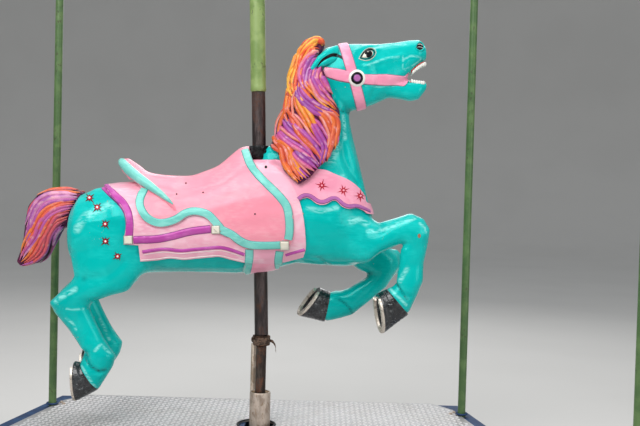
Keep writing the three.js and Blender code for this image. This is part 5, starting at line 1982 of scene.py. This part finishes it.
    def lock(self, base: Form, path: Path, size: float, tint: float, drift: float) -> Form:
        """One lock: a bar with a ridge on top that tapers at both ends.

        Args:
            base: the body of hair under it.
            path: its middle line.
            size: half its width.
            tint: the place of its colour in the paint's range.
            drift: how far the colour moves along it.

        Returns:
            The lock, with the numbers that its paint reads.
        """
        route = even_path(path, 5.0, 3)
        last = len(route) - 1
        section = ((-1.0, -0.5), (-0.85, 0.25), (-0.45, 0.85), (0.0, 1.0), (0.4, 0.7), (0.8, 0.15), (1.0, -0.5))
        rings: list[list[Vector]] = []
        tints: list[float] = []
        for step, middle in enumerate(route):
            share = step / last
            size_here = size * min(1.0, 0.12 + share / 0.16) * max(0.06, 1 - share ** 3.6) ** 0.75
            tangent = route[min(step + 1, last)] - route[max(step - 1, 0)]
            spot, normal = base.nearest(middle)
            sideways = normal.cross(tangent).normalized()
            rings.append([spot + sideways * across * size_here + normal * (up * 0.72 * size_here + self.lift)
                          for across, up in section])
            tints += [tint + drift * (share - 0.5) + 0.11 * across for across, _ in section]
        edges = np.tile([across ** 2 for across, _ in section], len(rings))
        return loft(rings).tagged("edge", edges).tagged("hair_tint", np.array(tints).clip(0, 1))

    @staticmethod
    def finish(name: str, locks: list[Form], paint: Finish, slot: str) -> None:
        """Joins the locks into the piece that stands for a CAD node."""
        place(f"{name}_locks", locks[0].joined(*locks[1:]), paint, stands_for=[name], slot=slot, angle=60)


# The pole and the deck


@dataclass
class Pole:
    """The pole through the horse, its sleeve, collar, taped coupling, lower rod and steady rod."""

    sides: int = 64
    steady: tuple[float, float] = (-26.0, 37.0)

    def build(self) -> None:
        """Makes the pieces that rise and fall with the horse."""
        self.turned("pole_tube", [(19.5, 279.4), (21, 281), (21, 1026), (19.5, 1027.2)], POLE_STEEL, "horse_pole",
                    "weathered_steel")
        sleeve = [(21.8, 1027.5), (24, 1030), (24.4, 1036), (23.6, 1050), (23.6, 1996), (22, 2000)]
        self.turned("pole_upper_sleeve", sleeve, SLEEVE_PAINT, "pole_sleeve", "pale_green_paint")
        collar = [(21.4, 824.5), (28.5, 824.5), (30, 827), (29.4, 834), (29.6, 846), (30, 858), (28.6, 861.5),
                  (24, 862), (21.4, 859)]
        self.turned("withers_iron_collar", collar, BLACK_IRON, "withers_collar", "black_iron")
        self.screws()
        self.turned("lower_rod_bar", [(14.5, -100), (16, -98.5), (16, 245), (15, 246.5)], ROD_STEEL, "lower_rod",
                    "weathered_steel", upright=True)
        self.coupling()
        x, y = self.steady
        rod = lathe([(6.5, -99.8), (8, -98), (8, 244), (7, 246.2)], 32, x, y)
        place("steady_rod_bar", rod, STEADY_ZINC, stands_for=["steady_rod"], slot="galvanised_steel", upright=True)

    def turned(self, name: str, profile: Line, finish: Finish, node_name: str, slot: str,
               upright: bool = False) -> None:
        """One round piece on the pole's axis, with its rows close enough for small dents.

        Args:
            name: the piece's name.
            profile: its (radius, height) pairs.
            finish: what it is finished with.
            node_name: the CAD node that it replaces.
            slot: the material slot, handed on to place, which does not use it.
            upright: whether it stands without the horse's lean.
        """
        rows: list[tuple[float, float]] = [profile[0]]
        for (r0, z0), (r1, z1) in zip(profile, profile[1:]):
            pieces = max(1, round(abs(z1 - z0) / 9))
            rows += [(r0 + (r1 - r0) * i / pieces, z0 + (z1 - z0) * i / pieces) for i in range(1, pieces + 1)]
        form = lathe(rows, self.sides)
        points = form.points
        angle = np.arctan2(points[:, 1], points[:, 0])
        wave = 0.18 * np.sin(points[:, 2] / 23 + 3 * angle) + 0.12 * np.sin(points[:, 2] / 9.1 - 2 * angle)
        points[:, :2] *= (1 - wave.clip(0, 1) / 21)[:, None]
        form.points = points
        place(name, form, finish, stands_for=[node_name], slot=slot, upright=upright)

    @staticmethod
    def screws() -> None:
        """Four square-headed set screws round the iron collar."""
        heads = []
        for quarter in range(4):
            turn = math.radians(38 + 90 * quarter)
            out = Vector((math.cos(turn), math.sin(turn), 0))
            side = out.cross(Vector((0, 0, 1)))
            heads.append(loft([[out * r + side * a * size + Vector((0, 0, 843 + b * size))
                                for a, b in ((-1, -1), (1, -1), (1, 1), (-1, 1))]
                               for r, size in ((28, 4.6), (33.4, 4.6), (34.4, 3.6))]))
        place("collar_set_screws", heads[0].joined(*heads[1:]), BLACK_IRON, angle=25)

    def coupling(self) -> None:
        """The coupling under the belly, wound with old tape that has torn loose, and its lug."""
        core = lathe([(20, 247.2), (25, 248), (25.6, 252), (25.6, 262), (23.4, 264), (23.4, 268), (25.2, 270),
                      (25.4, 276), (24, 277.8), (21.5, 278)], self.sides)
        x, y = self.steady
        lug = tube([Vector((0, 0, 258)), Vector((x * 0.6, y * 0.6, 258)), Vector((x * 1.12, y * 1.12, 257))],
                   [8.5, 8.5, 9.5], 20, 0.7)
        place("coupling_iron", core.joined(lug), COUPLING_RUST, stands_for=["pole_coupling"],
              slot="weathered_steel", upright=True)
        wound = []
        for height, radius, start, swing in ((254, 26.2, 0.3, 6.0), (262, 26.6, 2.2, 6.1), (270, 26.4, 4.0, 5.9)):
            bends = [(start + swing * step / 44, height + 5 * step / 44 - 2) for step in range(45)]
            wound.append([Vector((radius * math.cos(bend), radius * math.sin(bend), z)) for bend, z in bends])
        tail = [Vector((26, -2, 262)), Vector((31, -9, 264)), Vector((37, -12, 260)), Vector((43, -10, 252)),
                Vector((46, -11, 243)), Vector((44, -14, 236)), Vector((46, -13, 230))]
        strips = [*(self.tape(path, 10) for path in wound), self.tape(even_path(tail, 2.0, 1), 9)]
        place("coupling_tape", strips[0].joined(*strips[1:]), RAG_TAPE, upright=True)

    @staticmethod
    def tape(path: Path, width: float) -> Form:
        """A ragged strip of tape, stood on edge along a path.

        Args:
            path: its middle line.
            width: how wide it is.

        Returns:
            One closed form.
        """
        chance = random.Random(len(path))
        rings = []
        last = len(path) - 1
        for step, spot in enumerate(path):
            tangent = (path[min(step + 1, last)] - path[max(step - 1, 0)]).normalized()
            out = tangent.cross(Vector((0, 0, 0.5))).normalized() * 0.5
            top, foot = (Vector((0, 0, sign * (width / 2 + chance.uniform(-0.7, 0.7)))) for sign in (1, -1))
            rings.append([spot + top - out, spot + top + out, spot + foot + out, spot + foot - out])
        return loft(rings)


def box_of(name: str) -> tuple[np.ndarray, np.ndarray]:
    """The lowest and the highest corner of a CAD node that stands upright."""
    points = Form.of_nodes([name], UPRIGHT).points
    return points.min(axis=0), points.max(axis=0)


@dataclass
class Deck:
    """One bay of the deck: tread plate, blue beams, the hole with its ring and sleeve, and the drop rods."""

    pitch: float = 17.0
    bar_length: float = 21.0
    bar_width: float = 5.6
    bar_height: float = 1.4
    framing: tuple[str, ...] = (
        "inner_edge_beam", "outer_edge_beam", "left_seam_beam", "right_seam_beam", "left_joist", "right_joist",
    )

    def build(self) -> None:
        """Dresses the CAD frame of the deck, and adds its tread and its round parts."""
        dressed = {"deck_plate": TREAD, "sleeve_base_plate": ZINC, **dict.fromkeys(self.framing, BLUE_PAINT)}
        for name, finish in dressed.items():
            dress(name, finish)
            if not name.endswith("joist"):
                self.soften(name)
        self.tread()
        self.round_parts()
        self.brackets()

    @staticmethod
    def soften(name: str) -> None:
        """Rolls the sharp edges of a CAD node, as folded and cut steel has them."""
        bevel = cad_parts[name].modifiers.new("rolled_edges", "BEVEL")
        bevel.width = 0.0018
        bevel.segments = 3
        bevel.limit_method = "ANGLE"
        bevel.angle_limit = math.radians(50)

    @staticmethod
    def round_parts() -> None:
        """The round deck parts: the guide sleeve with its worn rim, its bush, the hole's ring and the drop rods."""
        sleeve = [(32, -88.5), (32, 98), (31.4, 101.5), (30, 103), (28.5, 103), (27, 101.4), (27, -88.5),
                  (32, -88.5)]
        bush = [(26.6, 61), (26.6, 100), (25.6, 101), (17.6, 101), (16.6, 100), (16.6, 61), (26.6, 61)]
        ring = [(61, 0.2), (61, 1.8), (59.5, 3.2), (56, 3.2), (55, 2.2), (55, 0.2), (61, 0.2)]
        for name, node_name, profile, x, finish, slot in (
            ("guide_sleeve_tube", "guide_sleeve", sleeve, 0, ZINC, "galvanised_steel"),
            ("guide_bush_ring", "guide_bush", bush, 0, BUSH_BRONZE, "bronze"),
            ("deck_hole_ring", "hole_ring", ring, -10, BLACK_IRON, "black_iron"),
        ):
            low = box_of(node_name)[0][2]
            lowest = min(z for _, z in profile)
            turned = [(r, low if z == lowest else z) for r, z in profile]
            place(name, lathe(turned, 64, x), finish, Body.DECK, [node_name], slot, True)
        for row in ("inner", "outer"):
            for side in ("left", "right"):
                node_name = f"drop_rod_{row}_{side}"
                low, high = box_of(node_name)
                x, y, _ = (low + high) / 2
                heights = np.linspace(low[2] + 1, high[2] - 1, 120)
                profile = [(11.5, low[2]), *((12.5, z) for z in heights), (11.5, high[2])]
                rod = lathe(profile, 32, x, y)
                place(f"{node_name}_bar", rod, OLIVE_PAINT, Body.DECK, [node_name], "olive_paint", True)

    @staticmethod
    def brackets() -> None:
        """The feet of the inner rods at the cut corners: a round blue collar and two bolts beside it."""
        for side, word in ((-1, "left"), (1, "right")):
            low, high = box_of(f"drop_rod_inner_{word}")
            x, y, _ = (low + high) / 2
            bends = np.linspace(0, math.tau, 25)[:-1]
            strap = [Vector((x + 17 * math.cos(bend), y + 17 * math.sin(bend), 6)) for bend in bends]
            ring = tube([*strap, strap[0]], [3.2] * 25, 10)
            place(f"rod_collar_{side + 1}", ring, BLUE_PAINT, Body.DECK, upright=True)
            for number, (across, inward) in enumerate(((34, 12), (20, 34)), 1):
                head = [(6.5, 0.2), (6.5, 1.4), (4.4, 1.5), (4.2, 4.6), (3.4, 5.4)]
                bolt = lathe(head, 24, x - side * across, y + inward)
                place(f"bracket_bolt_{side + 1}_{number}", bolt, ZINC, Body.DECK, upright=True)

    def tread(self) -> None:
        """The raised bars of the tread plate, turned one way and the other in turn."""
        plate = Form.of_nodes(["deck_plate"], UPRIGHT)
        low, high = box_of("deck_plate")
        top = high[2]
        points: list[tuple[float, float, float]] = []
        faces: list[list[int]] = []
        columns = int((high[0] - low[0]) / self.pitch) + 1
        rows = int((high[1] - low[1]) / self.pitch) + 1
        half_long, half_wide = self.bar_length / 2, self.bar_width / 2
        shape = ((-1.0, 0.0), (-0.55, -1.0), (0.55, -1.0), (1.0, 0.0), (0.55, 1.0), (-0.55, 1.0))
        for row in range(rows):
            for column in range(columns):
                x = low[0] + (column + 0.5) * self.pitch
                y = low[1] + (row + 0.5) * self.pitch
                turn = math.radians(45 if (row + column) % 2 else -45)
                c, s = math.cos(turn), math.sin(turn)
                outer, inner = (
                    [(x + a * half_long * long * c - b * half_wide * wide * s,
                      y + a * half_long * long * s + b * half_wide * wide * c) for a, b in shape]
                    for long, wide in ((1.0, 1.0), (0.72, 0.45)))
                if not all(self.on_plate(plate, px, py, top) for px, py in outer[::3] + outer[1:5:3]):
                    continue
                foot = range(len(points), len(points) + 6)
                points += [(px, py, top - 0.3) for px, py in outer]
                points += [(px, py, top + self.bar_height) for px, py in inner]
                faces += [[i, j, j + 6, i + 6] for i, j in zip(foot, [*foot[1:], foot[0]])]
                faces += [[i + 6 for i in foot], list(reversed(foot))]
        bars = Form.of(points, faces)
        place("tread_bars", bars, TREAD_BARS, Body.DECK, slot="tread_plate", upright=True, angle=25)

    @staticmethod
    def on_plate(plate: Form, x: float, y: float, top: float) -> bool:
        """Whether a point and what is 8 mm round it lie on the plate's top."""
        for dx, dy in ((0, 0), (8, 0), (-8, 0), (0, 8), (0, -8)):
            hit = plate.tree.ray_cast(Vector((x + dx, y + dy, top + 50)), Vector((0, 0, -1)))[0]
            if hit is None or abs(hit.z - top) > 0.5:
                return False
        return True


@dataclass
class Studio:
    """The camera at the photograph's place, soft lamps and a pale floor."""

    eye: tuple[float, float, float] = (0.18741, -2.5165, 0.89009)
    right: tuple[float, float, float] = (0.99965159, -0.00029301, 0.02639339)
    up: tuple[float, float, float] = (-0.02637426, 0.02855827, 0.99924413)
    ahead: tuple[float, float, float] = (0.00104654, 0.99959209, -0.02854059)
    focal_pixels: float = 910.0
    frame_pixels: float = 640.0
    sensor: float = 36.0
    lamps: tuple[tuple[str, tuple, tuple, float, float], ...] = (
        ("key", (-1.4, -2.6, 3.3), (0, 0.3, 0.7), 3.0, 124),
        ("fill", (3.0, -2.4, 1.4), (0, 0.3, 0.7), 2.4, 34),
        ("top", (0.2, 0.6, 3.9), (0, 0.3, 0.6), 3.0, 56),
        ("back", (0.4, 3.4, 2.6), (0, 0.3, 0.7), 2.6, 34),
    )

    def build(self) -> None:
        """Sets up the studio."""
        scene = bpy.context.scene
        data = bpy.data.cameras.new("camera")
        data.sensor_fit = "HORIZONTAL"
        data.sensor_width = self.sensor
        data.lens = self.focal_pixels * self.sensor / self.frame_pixels
        data.clip_end = 100
        camera = bpy.data.objects.new("camera", data)
        scene.collection.objects.link(camera)
        turn = Matrix((self.right, self.up, tuple(-v for v in self.ahead))).transposed()
        camera.matrix_world = Matrix.Translation(self.eye) @ turn.to_4x4()
        scene.camera = camera
        for lamp in self.lamps:
            self.lamp(*lamp)
        scene.view_settings.view_transform = "Standard"
        world = bpy.data.worlds.new("studio")
        world.use_nodes = True
        sky = world.node_tree.nodes["Background"]
        sky.inputs["Color"].default_value = linear("#E9EEF2")
        sky.inputs["Strength"].default_value = 0.5
        scene.world = world
        self.floor()

    @staticmethod
    def lamp(name: str, where: tuple, aim: tuple, size: float, power: float) -> None:
        """A round soft lamp.

        Args:
            name: its name.
            where: its place in metres.
            aim: the place that it shines at.
            size: its width in metres.
            power: its power in watts.
        """
        data = bpy.data.lights.new(name, "AREA")
        data.shape = "DISK"
        data.size = size
        data.energy = power
        lamp = bpy.data.objects.new(name, data)
        lamp.location = where
        lamp.rotation_euler = (Vector(aim) - Vector(where)).to_track_quat("-Z", "Y").to_euler()
        bpy.context.scene.collection.objects.link(lamp)

    @staticmethod
    def floor() -> None:
        """A wide round pale floor that curves up well away from the deck, the same from all sides."""
        rise = ((0.01, 0.0), (9.0, 0.0), (10.2, 0.06), (11.2, 0.3), (12.0, 0.8), (12.6, 1.6), (12.9, 2.6),
                (13.0, 4.4))
        count = 96
        points = [(r * math.cos(turn), r * math.sin(turn), z) for r, z in rise for turn in turns(count)]
        faces = [[row + i, row + (i + 1) % count, row + count + (i + 1) % count, row + count + i]
                 for row in range(0, count * (len(rise) - 1), count) for i in range(count)]
        form = Form.of(points, [*faces, list(range(count))])
        floor = bpy.data.objects.new("studio_floor", form.mesh)
        work = Coats("studio_paper", "#CBC9C6", 0.9)
        work.paint(work.clouds(900, 0.4, 0.7, 2.0), "#C4C2BF", 0.4)
        form.mesh.materials.append(work.done(IOR=1.45))
        form.mesh.polygons.foreach_set("use_smooth", [True] * len(form.mesh.polygons))
        bpy.context.scene.collection.objects.link(floor)


def main() -> None:
    """Builds the horse, its tack and hair, the pole and the deck, and the studio round them."""
    logging.basicConfig(level=logging.INFO, format="%(message)s")
    Studio().build()
    body = HorseBody()
    skin = body.build()
    Tack().build(skin)
    Face().build(skin)
    Hooves().build()
    Hair().build(skin)
    place("horse_body", skin, TURQUOISE, stands_for=body.blocks, slot="turquoise_enamel", angle=70)
    Pole().build()
    Deck().build()


if __name__ == "__main__":
    main()
